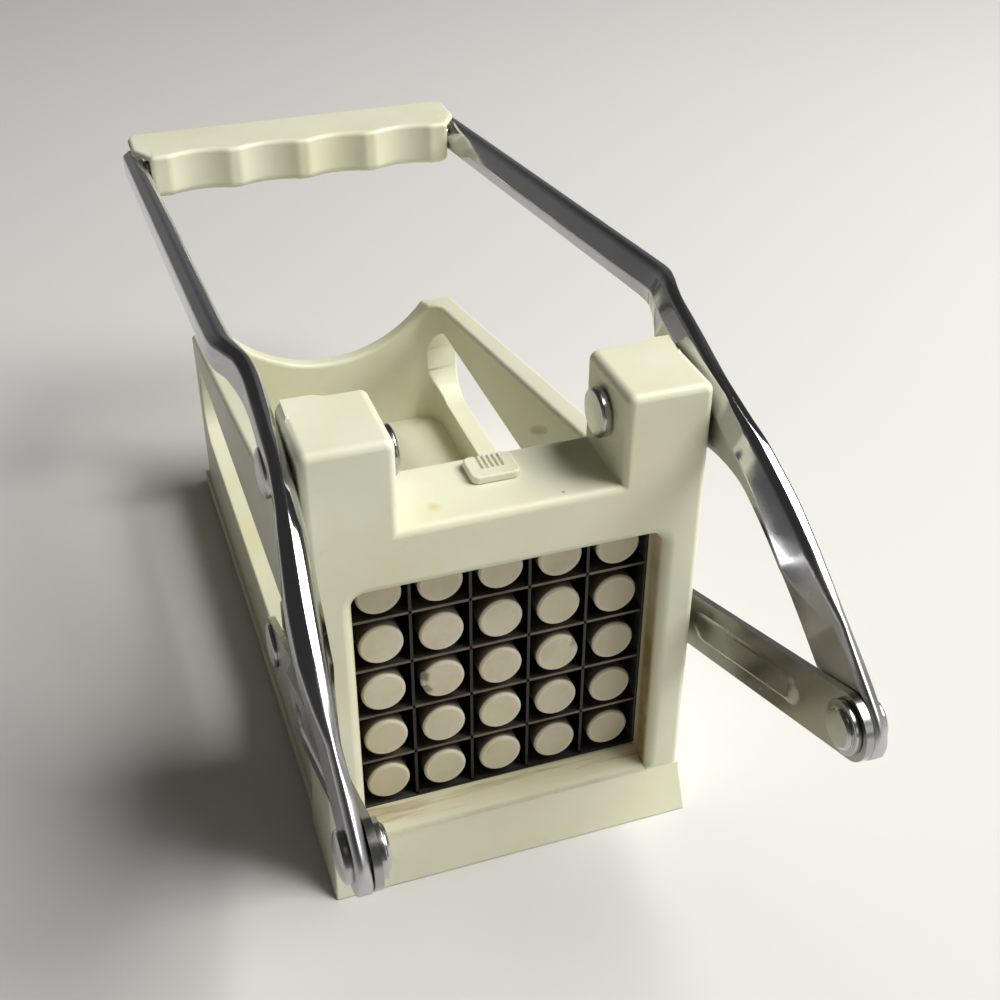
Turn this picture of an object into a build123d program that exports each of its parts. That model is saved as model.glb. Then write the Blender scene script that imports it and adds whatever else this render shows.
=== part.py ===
"""Lever potato chipper: a moulded trough with a blade grid, a pegged pusher and two levers.

Millimetres. Seen from the front, +X is to the right, +Y to the rear and +Z up.
The origin is on the table, under the middle of the front face. The levers are shown closed.
"""

import os
from math import hypot

from build123d import *

os.makedirs("parts", exist_ok=True)

# Cutting grid
cell_pitch = 12.0
cell_count = 5
blade_thickness = 0.6
blade_depth = 9.0
blade_bevel = 1.2
blade_seat = 1.5
blade_setback = 0.3
blade_fit = 0.05

# Blade frame, which slides up into the housing from below
cassette_bar = 3.0
cassette_depth = 9.9
cassette_fit = 0.1
cassette_foot_gap = 1.0

# Housing
lip_thickness = 7.2
rear_lip = 1.7
floor_top = 12.5
floor_thickness = 3.0
sill_rise = 0.5
sill_slope = 2.0
window_margin = 0.3
window_headroom = 1.0
window_radius = 2.5
trough_margin = 1.0
trough_length = 133.5
wall = 5.8
skirt_wall = 3.0
frame_step = 1.1
bridge_height = 9.6
notch_half = 21.1
tower_height = 18.6
tower_radius = 1.8
notch_radius = 1.6
frame_round = 1.6
frame_rear_round = 0.8
tower_pad_width = 5.4
tower_pad_depth = 5.0
tower_pad_height = 0.8
tower_pad_inset = 1.0
sink_mark_diameter = 5.2
sink_mark_depth = 0.4
sink_mark_setback = 51.2
sink_mark_height = 54.6
wall_front_drop = 11.9
rear_corner_height = 48.3
rear_wall = 4.5
rear_corner_radius = 7.0
rear_dip_depth = 13.3
rear_dip_inset = 3.1
wall_round = 1.2
foot_reach = 3.6
foot_height = 11.0
foot_flare = 0.8
skirt_proud = 1.1
skirt_height = 4.0

# Slots in the side walls
slot_bottom = 21.0
slot_headroom = 5.3
slot_radius = 8.5
slot_front_margin = 8.0
slot_rear_margin = 1.3

# Blade latch on the notch floor
latch_half = 4.7
latch_length = 7.4
latch_front = 9.3
latch_thickness = 1.5
latch_corner = 1.4
latch_round = 0.4
latch_lift = 0.1
latch_travel = 3.0
latch_stem_half = 2.0
latch_stem = 2.2
latch_hook = 1.9
latch_fit = 0.3
latch_stem_gap = 0.5
latch_groove_count = 5
latch_groove_pitch = 1.0
latch_groove_width = 0.4
latch_groove_depth = 0.5
latch_groove_length = 4.6
latch_neck = 2.6
lug_thickness = 1.3

# Pusher
pusher_gap = 2.5
pusher_plate = 8.0
pusher_side_gap = 0.3
pusher_floor_gap = 0.4
peg_diameter = 8.9
peg_reach = 0.6
peg_chamfer = 0.4
rib_thickness = 2.0
rib_depth = 5.0
cheek = 6.0
pin_setback = 10.5
shoe_length = 12.0
shoe_round = 5.9
shoe_gap = 0.3
shoe_set_in = 0.2
pusher_pin_diameter = 6.0
pusher_pin_lift = 1.0
fixed_fit = 0.02

# Lever pivots on the towers
pivot_setback = 10.6
pivot_drop = 8.4
pivot_diameter = 6.0
pivot_head_diameter = 9.6
pivot_head = 2.2
pivot_head_gap = 0.5
pivot_neck_diameter = 8.2
pivot_outer_diameter = 9.2
pivot_outer_head = 2.4
head_dome = 0.7
running_fit = 0.05
side_play = 0.2

# Levers: flattened tube, bent at the pivot, with stations measured from the pivot
lever_gap = 0.4
lever_flat = 2.5
lever_eye_radius = 9.2
bead_width = 4.1
bead_height = 4.2
bead_margin = 0.3
arm_width = 5.5
arm_height = 6.8
arm_roundness = 0.43
arm_proud = 1.5
handle_reach = 171.4
handle_drop = 6.9
elbow_reach = 25.4
elbow_rise = 10.4
shoulder_reach = 16.9
shoulder_rise = 10.5
shoulder_width = 4.0
shoulder_height = 8.0
shoulder_offset = 0.2
rear_flat_reach = 9.9
rear_flat_rise = 5.0
rear_flat_height = 16.5
front_flat_reach = 13.6
front_flat_drop = 0.8
front_flat_height = 11.0
shin_reach = 23.6
shin_drop = 4.2
shin_width = 4.8
shin_height = 7.5
shin_offset = 0.5
knee_reach = 36.6
knee_drop = 12.0
knee_width = 5.8
knee_height = 6.6
knee_offset = 1.0
ankle_reach = 48.1
ankle_drop = 21.3
ankle_height = 14.0
crank_reach = 61.1
crank_drop = 29.8
crank_end_radius = 6.3

# Links
link_thickness = 1.4
link_width = 12.2
link_gap = 0.5
joggle_start = 62.0
joggle_length = 8.0
link_rib_width = 5.6
link_rib_height = 0.5
link_rib_front = 17.0
link_rivet_diameter = 5.0
rivet_head_diameter = 9.6
rivet_cap_diameter = 7.6
rivet_flange = 1.0
rivet_cap = 0.9
rivet_cap_edge = 0.5
rivet_outer_diameter = 8.4
rivet_outer_head = 2.0
pusher_rivet_head = 1.3
open_joint_gap = 0.3

# Grip
grip_depth = 19.0
grip_height = 11.5
grip_rear_margin = 4.0
grip_end_gap = 0.2
grip_fingers = 4
grip_hollow = 1.9
grip_ridge = 3.0
grip_end_flat = 5.0
grip_ridge_round = 4.0
grip_front_corner = 3.0
grip_rear_corner = 5.0
grip_round = 2.2
grip_top_round = 1.2
grip_drop = 0.6
grip_lip_reach = 3.7
grip_lip_thickness = 1.3
grip_lip_setback = 5.0
grip_lip_corner = 3.4
grip_pin_diameter = 4.0
grip_pin_depth = 9.0
grip_pin_inset = 9.0

# Places that follow from the sizes above
grid_half = cell_pitch * cell_count / 2
grid_bottom = floor_top + sill_rise
grid_middle = grid_bottom + grid_half
grid_top = grid_middle + grid_half
window_half = grid_half + window_margin
window_top = grid_top + window_headroom
trough_half = grid_half + trough_margin
wall_outer = trough_half + wall
frame_half = wall_outer + frame_step
cassette_half = grid_half + cassette_bar
cassette_front = lip_thickness + cassette_fit
cassette_top = grid_top + cassette_bar
pocket_depth = cassette_depth + 2 * cassette_fit
frame_depth = lip_thickness + pocket_depth + rear_lip
blade_front = cassette_front + blade_setback
notch_floor = cassette_top + bridge_height
stem_front = cassette_front + lug_thickness + latch_hook + latch_stem_gap
tower_top = notch_floor + tower_height
wall_front_top = notch_floor - wall_front_drop
rear_inner = frame_depth + trough_length
rear_outer = rear_inner + rear_wall
rear_dip_half = trough_half - rear_dip_inset
rear_dip_bottom = rear_corner_height - rear_dip_depth
slot_top = rear_corner_height - slot_headroom
slot_height = slot_top - slot_bottom
slot_middle = (slot_top + slot_bottom) / 2
slot_front = frame_depth + slot_front_margin
slot_rear = rear_inner - slot_rear_margin
plate_front = frame_depth + pusher_gap
plate_back = plate_front + pusher_plate
pusher_half = trough_half - pusher_side_gap
pusher_pin_y = plate_back + pin_setback
pusher_pin_height = slot_middle + pusher_pin_lift
pivot_y = pivot_setback
pivot_z = tower_top - pivot_drop
crank_y = pivot_y - crank_reach
crank_z = pivot_z - crank_drop
link_rear_inner = frame_half + link_gap
link_front_inner = link_rear_inner + rivet_cap + rivet_flange + side_play / 2
lever_pivot_inner = frame_half + lever_gap
lever_pivot_outer = lever_pivot_inner + lever_flat
lever_crank_inner = link_front_inner + link_thickness + side_play
lever_crank_outer = lever_crank_inner + lever_flat
arm_outer = lever_crank_outer + arm_proud
arm_middle = arm_outer - arm_width / 2
arm_inner = arm_outer - arm_width
blade_offsets = [cell_pitch * (number - cell_count / 2) for number in range(1, cell_count)]
sides = (("left", -1), ("right", 1))


def side_plane(x):
    """Plane across X at x, with the sketch's own axes along +Y and +Z."""
    return Plane.YZ.offset(x)


def front_plane(y):
    """Plane across Y at y, with axes along +X and +Z; a minus extrusion goes rearward."""
    return Plane.XZ.offset(-y)


def dome_radius(radius, rise):
    """Radius of the ball that domes a head of the given radius by the given rise."""
    return (radius * radius + rise * rise) / (2 * rise)


def turned_plane(side, y, z):
    """Plane through a cross axis: sketch X runs outward along it and sketch Y is the radius."""
    return Plane(origin=(0, y, z), x_dir=(side, 0, 0), z_dir=(0, -side, 0))


# Housing
with BuildPart() as housing:
    with BuildSketch(front_plane(0)):
        with BuildLine():
            Polyline(
                (-frame_half, 0),
                (-frame_half, tower_top),
                (-notch_half, tower_top),
                (-notch_half, notch_floor),
                (notch_half, notch_floor),
                (notch_half, tower_top),
                (frame_half, tower_top),
                (frame_half, 0),
                close=True,
            )
        frame_face = make_face()
        corners = frame_face.vertices()
        fillet(corners.group_by(Axis.Y)[-1], tower_radius)
        fillet(corners.group_by(Axis.Y)[1], notch_radius)
    extrude(amount=-frame_depth)
    rims = housing.faces().filter_by(Axis.Y).sort_by(Axis.Y)
    for rim, rim_radius in zip(rims, (frame_round, frame_rear_round)):
        fillet(rim.edges().filter_by(lambda edge: edge.center().Z > floor_top), rim_radius)
    # Low wedges at the outer rear corners of the towers
    pad_rear = frame_depth - frame_rear_round
    for name, side in sides:
        pad_x = side * (frame_half - tower_pad_inset - tower_pad_width / 2)
        with BuildSketch(side_plane(pad_x)):
            with BuildLine():
                Polyline(
                    (pad_rear - tower_pad_depth, tower_top - tower_pad_height),
                    (pad_rear - tower_pad_depth, tower_top),
                    (pad_rear, tower_top + tower_pad_height),
                    (pad_rear, tower_top - tower_pad_height),
                    close=True,
                )
            make_face()
        extrude(amount=tower_pad_width / 2, both=True)
    # Flared foot under the window
    with BuildSketch(Plane.XY):
        with Locations((0, (frame_depth - foot_reach) / 2)):
            Rectangle(2 * (frame_half + foot_flare), frame_depth + foot_reach)
    with BuildSketch(Plane.XY.offset(foot_height)):
        with Locations((0, frame_depth / 2)):
            Rectangle(2 * frame_half, frame_depth)
    loft()
    # Trough block with its sloping top
    with BuildSketch(side_plane(-wall_outer)):
        with BuildLine():
            Polyline(
                (frame_depth, 0),
                (rear_outer, 0),
                (rear_outer, rear_corner_height),
                (frame_depth, wall_front_top),
                close=True,
            )
        make_face()
    extrude(amount=2 * wall_outer)
    block_edges = housing.edges().filter_by(
        lambda edge: edge.center().Y > frame_depth + wall and edge.center().Z > floor_top
    )
    fillet(block_edges, wall_round)
    with BuildSketch(Plane.XY):
        with Locations((0, (frame_depth + rear_outer + skirt_proud) / 2)):
            Rectangle(2 * (wall_outer + skirt_proud), rear_outer + skirt_proud - frame_depth)
    extrude(amount=skirt_height)
    # Inside of the trough, with round rear corners
    with BuildSketch(Plane.XY.offset(floor_top)):
        with Locations((0, (frame_depth + rear_inner) / 2)):
            trough_floor = Rectangle(2 * trough_half, trough_length)
        fillet(trough_floor.vertices().group_by(Axis.Y)[-1], rear_corner_radius)
    extrude(amount=tower_top, mode=Mode.SUBTRACT)
    inner_rim = housing.edges().filter_by(
        lambda edge: edge.center().Y > frame_depth + wall
        and edge.center().Z > rear_corner_height
        and abs(edge.center().X) < trough_half + wall_round / 2
    )
    fillet(inner_rim, wall_round)
    # Dip in the top of the rear wall
    dip_radius = dome_radius(rear_dip_half, rear_dip_depth)
    with BuildSketch(front_plane(rear_inner - rear_corner_radius)):
        with Locations((0, rear_dip_bottom + dip_radius)):
            Circle(dip_radius)
    extrude(amount=-(rear_corner_radius + rear_wall), mode=Mode.SUBTRACT)
    dip_rims = housing.edges().filter_by(GeomType.CIRCLE).filter_by(
        lambda edge: abs(edge.radius - dip_radius) < wall_round
    )
    fillet(dip_rims, wall_round)
    # Slots for the pusher's shoes
    for name, side in sides:
        with BuildSketch(side_plane(side * (trough_half + wall / 2))):
            with Locations(((slot_front + slot_rear) / 2, slot_middle)):
                RectangleRounded(slot_rear - slot_front, slot_height, slot_radius)
        extrude(amount=wall, both=True, mode=Mode.SUBTRACT)
    # Sink mark inside the right wall
    with Locations((trough_half, frame_depth + sink_mark_setback, sink_mark_height)):
        Cylinder(sink_mark_diameter / 2, 2 * sink_mark_depth, rotation=(0, 90, 0), mode=Mode.SUBTRACT)
    # Window with round upper corners and a sloping sill
    with BuildSketch(front_plane(0)):
        with Locations((0, (grid_bottom + window_top) / 2)):
            window = Rectangle(2 * window_half, window_top - grid_bottom)
        fillet(window.vertices().group_by(Axis.Y)[-1], window_radius)
    extrude(amount=-frame_depth, mode=Mode.SUBTRACT)
    with BuildSketch(side_plane(-window_half)):
        with BuildLine():
            Polyline(
                (0, grid_bottom - sill_slope),
                (lip_thickness, grid_bottom),
                (0, grid_bottom),
                close=True,
            )
        make_face()
    extrude(amount=2 * window_half, mode=Mode.SUBTRACT)
    # Pocket for the blade frame, open below
    with Locations((0, lip_thickness + pocket_depth / 2, 0)):
        Box(
            2 * (cassette_half + cassette_fit),
            pocket_depth,
            cassette_top + cassette_fit,
            align=(Align.CENTER, Align.CENTER, Align.MIN),
            mode=Mode.SUBTRACT,
        )
    # Cavity for the latch hook, with a narrower neck through the notch floor
    neck_length = latch_stem + latch_travel + 2 * latch_fit
    with Locations((0, lip_thickness + pocket_depth / 2, cassette_top)):
        Box(
            2 * (latch_stem_half + latch_fit),
            pocket_depth,
            bridge_height - latch_neck,
            align=(Align.CENTER, Align.CENTER, Align.MIN),
            mode=Mode.SUBTRACT,
        )
    with Locations((0, stem_front - latch_fit, cassette_top)):
        Box(
            2 * (latch_stem_half + latch_fit),
            neck_length,
            bridge_height,
            align=(Align.CENTER, Align.MIN, Align.MIN),
            mode=Mode.SUBTRACT,
        )
    # Hollow under the trough floor
    with BuildSketch(Plane.XY):
        with Locations((0, (frame_depth + rear_inner) / 2)):
            Rectangle(2 * (wall_outer - skirt_wall), trough_length - 2 * skirt_wall)
    extrude(amount=floor_top - floor_thickness, mode=Mode.SUBTRACT)
    # Pivot bores through the towers
    with Locations((0, pivot_y, pivot_z)):
        Cylinder(pivot_diameter / 2 + fixed_fit, 2 * arm_outer, rotation=(0, 90, 0), mode=Mode.SUBTRACT)
housing.part.label = "housing"
export_step(housing.part, "parts/housing.step")

# Blade frame
with BuildPart() as blade_frame:
    with BuildSketch(front_plane(cassette_front)):
        with Locations((0, (cassette_foot_gap + cassette_top) / 2)):
            Rectangle(2 * cassette_half, cassette_top - cassette_foot_gap)
        with Locations((0, grid_middle)):
            Rectangle(2 * grid_half, 2 * grid_half, mode=Mode.SUBTRACT)
    extrude(amount=-cassette_depth)
    slit = blade_thickness + 2 * blade_fit
    slit_span = 2 * (grid_half + blade_seat + blade_fit)
    with Locations([(offset, blade_front - blade_fit, grid_middle) for offset in blade_offsets]):
        Box(
            slit,
            cassette_depth,
            slit_span,
            align=(Align.CENTER, Align.MIN, Align.CENTER),
            mode=Mode.SUBTRACT,
        )
    with Locations([(0, blade_front - blade_fit, grid_middle + offset) for offset in blade_offsets]):
        Box(
            slit_span,
            cassette_depth,
            slit,
            align=(Align.CENTER, Align.MIN, Align.CENTER),
            mode=Mode.SUBTRACT,
        )
    # Lug that the latch hook holds
    lug_top = notch_floor - latch_neck - latch_fit
    lug_lip = lug_top - latch_hook
    with BuildSketch(side_plane(-latch_stem_half)):
        with BuildLine():
            Polyline(
                (cassette_front, cassette_top),
                (cassette_front, lug_top),
                (cassette_front + lug_thickness + latch_hook, lug_top),
                (cassette_front + lug_thickness + latch_hook, lug_lip),
                (cassette_front + lug_thickness, lug_lip),
                (cassette_front + lug_thickness, cassette_top),
                close=True,
            )
        make_face()
    extrude(amount=2 * latch_stem_half)
blade_frame.part.label = "blade_frame"
export_step(blade_frame.part, "parts/blade_frame.step")

# Blades, halved together where they cross, sharpened towards the trough
blade_half = grid_half + blade_seat
lap_slot = blade_thickness + 2 * blade_fit
lap_middle = blade_front + blade_depth / 2
for number, offset in enumerate(blade_offsets, start=1):
    with BuildPart() as vertical_blade:
        with BuildSketch(Plane.XY.offset(grid_middle - blade_half)):
            with BuildLine():
                Polyline(
                    (offset - blade_thickness / 2, blade_front),
                    (offset + blade_thickness / 2, blade_front),
                    (offset + blade_thickness / 2, blade_front + blade_depth - blade_bevel),
                    (offset, blade_front + blade_depth),
                    (offset - blade_thickness / 2, blade_front + blade_depth - blade_bevel),
                    close=True,
                )
            make_face()
        extrude(amount=2 * blade_half)
        with Locations([(offset, lap_middle + blade_fit, grid_middle + height) for height in blade_offsets]):
            Box(
                2 * blade_thickness,
                blade_depth,
                lap_slot,
                align=(Align.CENTER, Align.MAX, Align.CENTER),
                mode=Mode.SUBTRACT,
            )
    vertical_blade.part.label = f"vertical_blade_{number}"
    export_step(vertical_blade.part, f"parts/vertical_blade_{number}.step")

    with BuildPart() as horizontal_blade:
        height = grid_middle + offset
        with BuildSketch(side_plane(-blade_half)):
            with BuildLine():
                Polyline(
                    (blade_front, height - blade_thickness / 2),
                    (blade_front, height + blade_thickness / 2),
                    (blade_front + blade_depth - blade_bevel, height + blade_thickness / 2),
                    (blade_front + blade_depth, height),
                    (blade_front + blade_depth - blade_bevel, height - blade_thickness / 2),
                    close=True,
                )
            make_face()
        extrude(amount=2 * blade_half)
        with Locations([(across, lap_middle - blade_fit, height) for across in blade_offsets]):
            Box(
                lap_slot,
                blade_depth,
                2 * blade_thickness,
                align=(Align.CENTER, Align.MIN, Align.CENTER),
                mode=Mode.SUBTRACT,
            )
    horizontal_blade.part.label = f"horizontal_blade_{number}"
    export_step(horizontal_blade.part, f"parts/horizontal_blade_{number}.step")

# Blade latch: a grooved thumb pad with a hooked stem
with BuildPart() as blade_latch:
    pad_bottom = notch_floor + latch_lift
    hook_top = lug_lip - latch_fit
    with BuildSketch(Plane.XY.offset(pad_bottom)):
        with Locations((0, latch_front + latch_length / 2)):
            RectangleRounded(2 * latch_half, latch_length, latch_corner)
    extrude(amount=latch_thickness)
    fillet(blade_latch.faces().sort_by(Axis.Z)[-1].edges(), latch_round)
    groove_y = latch_front + latch_length - latch_groove_length / 2
    with Locations((0, groove_y, pad_bottom + latch_thickness)):
        with GridLocations(latch_groove_pitch, 0, latch_groove_count, 1):
            Box(latch_groove_width, latch_groove_length, 2 * latch_groove_depth, mode=Mode.SUBTRACT)
    with BuildSketch(side_plane(-latch_stem_half)):
        with BuildLine():
            Polyline(
                (stem_front, pad_bottom),
                (stem_front, hook_top),
                (stem_front - latch_hook, hook_top),
                (stem_front - latch_hook, hook_top - latch_hook),
                (stem_front + latch_stem, hook_top - latch_hook),
                (stem_front + latch_stem, pad_bottom),
                close=True,
            )
        make_face()
    extrude(amount=2 * latch_stem_half)
blade_latch.part.label = "blade_latch"
export_step(blade_latch.part, "parts/blade_latch.step")

# Pusher with its pegs
with BuildPart() as pusher:
    pusher_bottom = floor_top + pusher_floor_gap
    with BuildSketch(front_plane(plate_front)):
        with Locations((0, (pusher_bottom + grid_top) / 2)):
            Rectangle(2 * pusher_half, grid_top - pusher_bottom)
    extrude(amount=-pusher_plate)
    with BuildSketch(front_plane(plate_front)):
        with Locations((0, grid_middle)):
            with GridLocations(cell_pitch, cell_pitch, cell_count, cell_count):
                Circle(peg_diameter / 2)
    extrude(amount=plate_front - blade_front + peg_reach)
    peg_ends = pusher.faces().sort_by(Axis.Y)[: cell_count * cell_count]
    chamfer(peg_ends.edges(), peg_chamfer)
    # Ribs behind the plate
    for offset in blade_offsets:
        with Locations((offset, plate_back, grid_middle)):
            Box(
                rib_thickness,
                rib_depth,
                2 * grid_half - cell_pitch,
                align=(Align.CENTER, Align.MIN, Align.CENTER),
            )
        with Locations((0, plate_back, grid_middle + offset)):
            Box(
                2 * grid_half - cell_pitch,
                rib_depth,
                rib_thickness,
                align=(Align.CENTER, Align.MIN, Align.CENTER),
            )
    # Cheeks behind the plate, with shoes that run in the wall slots
    shoe_height = slot_height - 2 * shoe_gap
    cheek_length = pin_setback + shoe_length / 2
    cheek_middle = plate_back + (cheek_length - shoe_round) / 2
    shoe_width = wall_outer - shoe_set_in - pusher_half
    for name, side in sides:
        with BuildSketch(side_plane(side * (pusher_half - cheek / 2))):
            with Locations((cheek_middle, slot_middle)):
                RectangleRounded(cheek_length + shoe_round, shoe_height, shoe_round)
        extrude(amount=cheek / 2, both=True)
        with BuildSketch(side_plane(side * (pusher_half + shoe_width / 2))):
            with Locations((pusher_pin_y, slot_middle)):
                RectangleRounded(shoe_length, shoe_height, shoe_round)
        extrude(amount=shoe_width / 2, both=True)
    with Locations((0, pusher_pin_y, pusher_pin_height)):
        Cylinder(
            pusher_pin_diameter / 2 + fixed_fit,
            2 * wall_outer,
            rotation=(0, 90, 0),
            mode=Mode.SUBTRACT,
        )
pusher.part.label = "pusher"
export_step(pusher.part, "parts/pusher.step")

# Pusher pins, which stop just short of the links
for name, side in sides:
    with BuildPart() as pusher_pin:
        pin_start = pusher_half - cheek
        pin_end = link_rear_inner - open_joint_gap
        with Locations((side * (pin_start + pin_end) / 2, pusher_pin_y, pusher_pin_height)):
            Cylinder(pusher_pin_diameter / 2, pin_end - pin_start, rotation=(0, 90, 0))
    pusher_pin.part.label = f"{name}_pusher_pin"
    export_step(pusher_pin.part, f"parts/{name}_pusher_pin.step")

# Pivot pins: riveted through the towers, with a flat head in the notch and a domed one outside
for name, side in sides:
    with BuildPart() as pivot_pin:
        head_start = notch_half - pivot_head
        outer_start = lever_pivot_outer + side_play
        outer_end = outer_start + pivot_outer_head
        with BuildSketch(turned_plane(side, pivot_y, pivot_z)):
            with BuildLine():
                shank = Polyline(
                    (outer_end, 0),
                    (head_start, 0),
                    (head_start, pivot_head_diameter / 2 - head_dome),
                    (head_start + head_dome, pivot_head_diameter / 2),
                    (notch_half - pivot_head_gap, pivot_head_diameter / 2),
                    (notch_half - pivot_head_gap, pivot_neck_diameter / 2),
                    (notch_half, pivot_neck_diameter / 2),
                    (notch_half, pivot_diameter / 2),
                    (outer_start, pivot_diameter / 2),
                    (outer_start, pivot_outer_diameter / 2),
                    (outer_end - head_dome, pivot_outer_diameter / 2),
                )
                RadiusArc(shank @ 1, shank @ 0, dome_radius(pivot_outer_diameter / 2, head_dome))
            make_face()
        revolve(axis=Axis((0, pivot_y, pivot_z), (1, 0, 0)))
    pivot_pin.part.label = f"{name}_pivot_pin"
    export_step(pivot_pin.part, f"parts/{name}_pivot_pin.step")


def arm_section(x_middle, y, z, towards, width, height):
    """Rounded section of a lever arm, square to the direction towards."""
    section_plane = Plane(origin=(x_middle, y, z), x_dir=(1, 0, 0), z_dir=(0, *towards))
    with BuildSketch(section_plane) as section:
        RectangleRounded(width, height, arm_roundness * min(width, height))
    return section.sketch


def heading(start, end):
    """Unit direction in the YZ plane from start to end."""
    length = hypot(end[0] - start[0], end[1] - start[1])
    return ((end[0] - start[0]) / length, (end[1] - start[1]) / length)


def across(point, direction, distance):
    """Point in the YZ plane, set off to the left of a direction by a distance."""
    return (point[0] - direction[1] * distance, point[1] + direction[0] * distance)


# Levers: tube arms that flatten at the pivot and at the crank end
pivot = (pivot_y, pivot_z)
handle_end = (pivot_y + handle_reach, pivot_z - handle_drop)
elbow = (pivot_y + elbow_reach, pivot_z + elbow_rise)
shoulder = (pivot_y + shoulder_reach, pivot_z + shoulder_rise)
rear_flat = (pivot_y + rear_flat_reach, pivot_z + rear_flat_rise)
front_flat = (pivot_y - front_flat_reach, pivot_z - front_flat_drop)
shin = (pivot_y - shin_reach, pivot_z - shin_drop)
knee = (pivot_y - knee_reach, pivot_z - knee_drop)
ankle = (pivot_y - ankle_reach, pivot_z - ankle_drop)
crank = (crank_y, crank_z)
to_shoulder = heading(rear_flat, shoulder)
to_elbow = heading(shoulder, elbow)
to_handle = heading(elbow, handle_end)
to_shin = heading(front_flat, shin)
to_knee = heading(shin, knee)
to_ankle = heading(knee, ankle)
to_crank = heading(ankle, crank)
pivot_flat_middle = lever_pivot_inner + lever_flat / 2
shoulder_middle = lever_pivot_inner + shoulder_offset + shoulder_width / 2
shin_middle = lever_pivot_inner + shin_offset + shin_width / 2
knee_middle = lever_pivot_inner + knee_offset + knee_width / 2
crank_flat_middle = lever_crank_inner + lever_flat / 2
with BuildPart() as right_lever:
    upper_sections = [
        arm_section(pivot_flat_middle, *rear_flat, to_shoulder, lever_flat, rear_flat_height),
        arm_section(shoulder_middle, *shoulder, to_elbow, shoulder_width, shoulder_height),
        arm_section(arm_middle, *elbow, to_handle, arm_width, arm_height),
        arm_section(arm_middle, *handle_end, to_handle, arm_width, arm_height),
    ]
    lower_sections = [
        arm_section(pivot_flat_middle, *front_flat, to_shin, lever_flat, front_flat_height),
        arm_section(shin_middle, *shin, to_knee, shin_width, shin_height),
        arm_section(knee_middle, *knee, to_ankle, knee_width, knee_height),
        arm_section(crank_flat_middle, *ankle, to_crank, lever_flat, ankle_height),
    ]
    for sections in (upper_sections, lower_sections):
        for first, second in zip(sections, sections[1:]):
            loft([first, second])
    # Flat round the pivot
    with BuildSketch(side_plane(lever_pivot_inner)):
        with Locations(pivot):
            Circle(lever_eye_radius)
        with BuildLine():
            Polyline(
                across(rear_flat, to_shoulder, rear_flat_height / 2),
                across(rear_flat, to_shoulder, -rear_flat_height / 2),
                across(front_flat, to_shin, front_flat_height / 2),
                across(front_flat, to_shin, -front_flat_height / 2),
                close=True,
            )
        make_face()
    extrude(amount=lever_flat)
    # Bead along the upper edge of the flat, which carries the tube past the pivot
    bead_top = [
        across(shoulder, to_elbow, shoulder_height / 2 - bead_margin),
        across(rear_flat, to_shoulder, rear_flat_height / 2),
        across(front_flat, to_shin, -front_flat_height / 2),
        across(shin, to_knee, bead_margin - shin_height / 2),
    ]
    bead_fall = across((0, 0), heading(bead_top[1], bead_top[2]), bead_height)
    bead_bottom = [(y + bead_fall[0], z + bead_fall[1]) for y, z in reversed(bead_top)]
    with BuildSketch(side_plane(lever_pivot_inner)):
        with BuildLine():
            Polyline(*bead_top, *bead_bottom, close=True)
        make_face()
    extrude(amount=bead_width)
    # Flat at the crank end
    with BuildSketch(side_plane(lever_crank_inner)):
        with Locations(crank):
            Circle(crank_end_radius)
        with BuildLine():
            Polyline(
                across(crank, to_crank, crank_end_radius),
                across(ankle, to_crank, ankle_height / 2),
                across(ankle, to_crank, -ankle_height / 2),
                across(crank, to_crank, -crank_end_radius),
                close=True,
            )
        make_face()
    extrude(amount=lever_flat)
    # Bores for the pivot pin, the link rivet and the grip pin
    with Locations((arm_middle, *pivot)):
        Cylinder(pivot_diameter / 2 + running_fit, 2 * arm_width, rotation=(0, 90, 0), mode=Mode.SUBTRACT)
    with Locations((arm_middle, *crank)):
        Cylinder(link_rivet_diameter / 2 + fixed_fit, 2 * arm_width, rotation=(0, 90, 0), mode=Mode.SUBTRACT)
    grip_fix = (
        handle_end[0] - to_handle[0] * grip_pin_inset,
        handle_end[1] - to_handle[1] * grip_pin_inset,
    )
    with Locations((arm_middle, *grip_fix)):
        Cylinder(grip_pin_diameter / 2 + fixed_fit, 2 * arm_width, rotation=(0, 90, 0), mode=Mode.SUBTRACT)
right_lever.part.label = "right_lever"
export_step(right_lever.part, "parts/right_lever.step")

with BuildPart() as left_lever:
    mirror(right_lever.part, about=Plane.YZ)
left_lever.part.label = "left_lever"
export_step(left_lever.part, "parts/left_lever.step")

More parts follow.
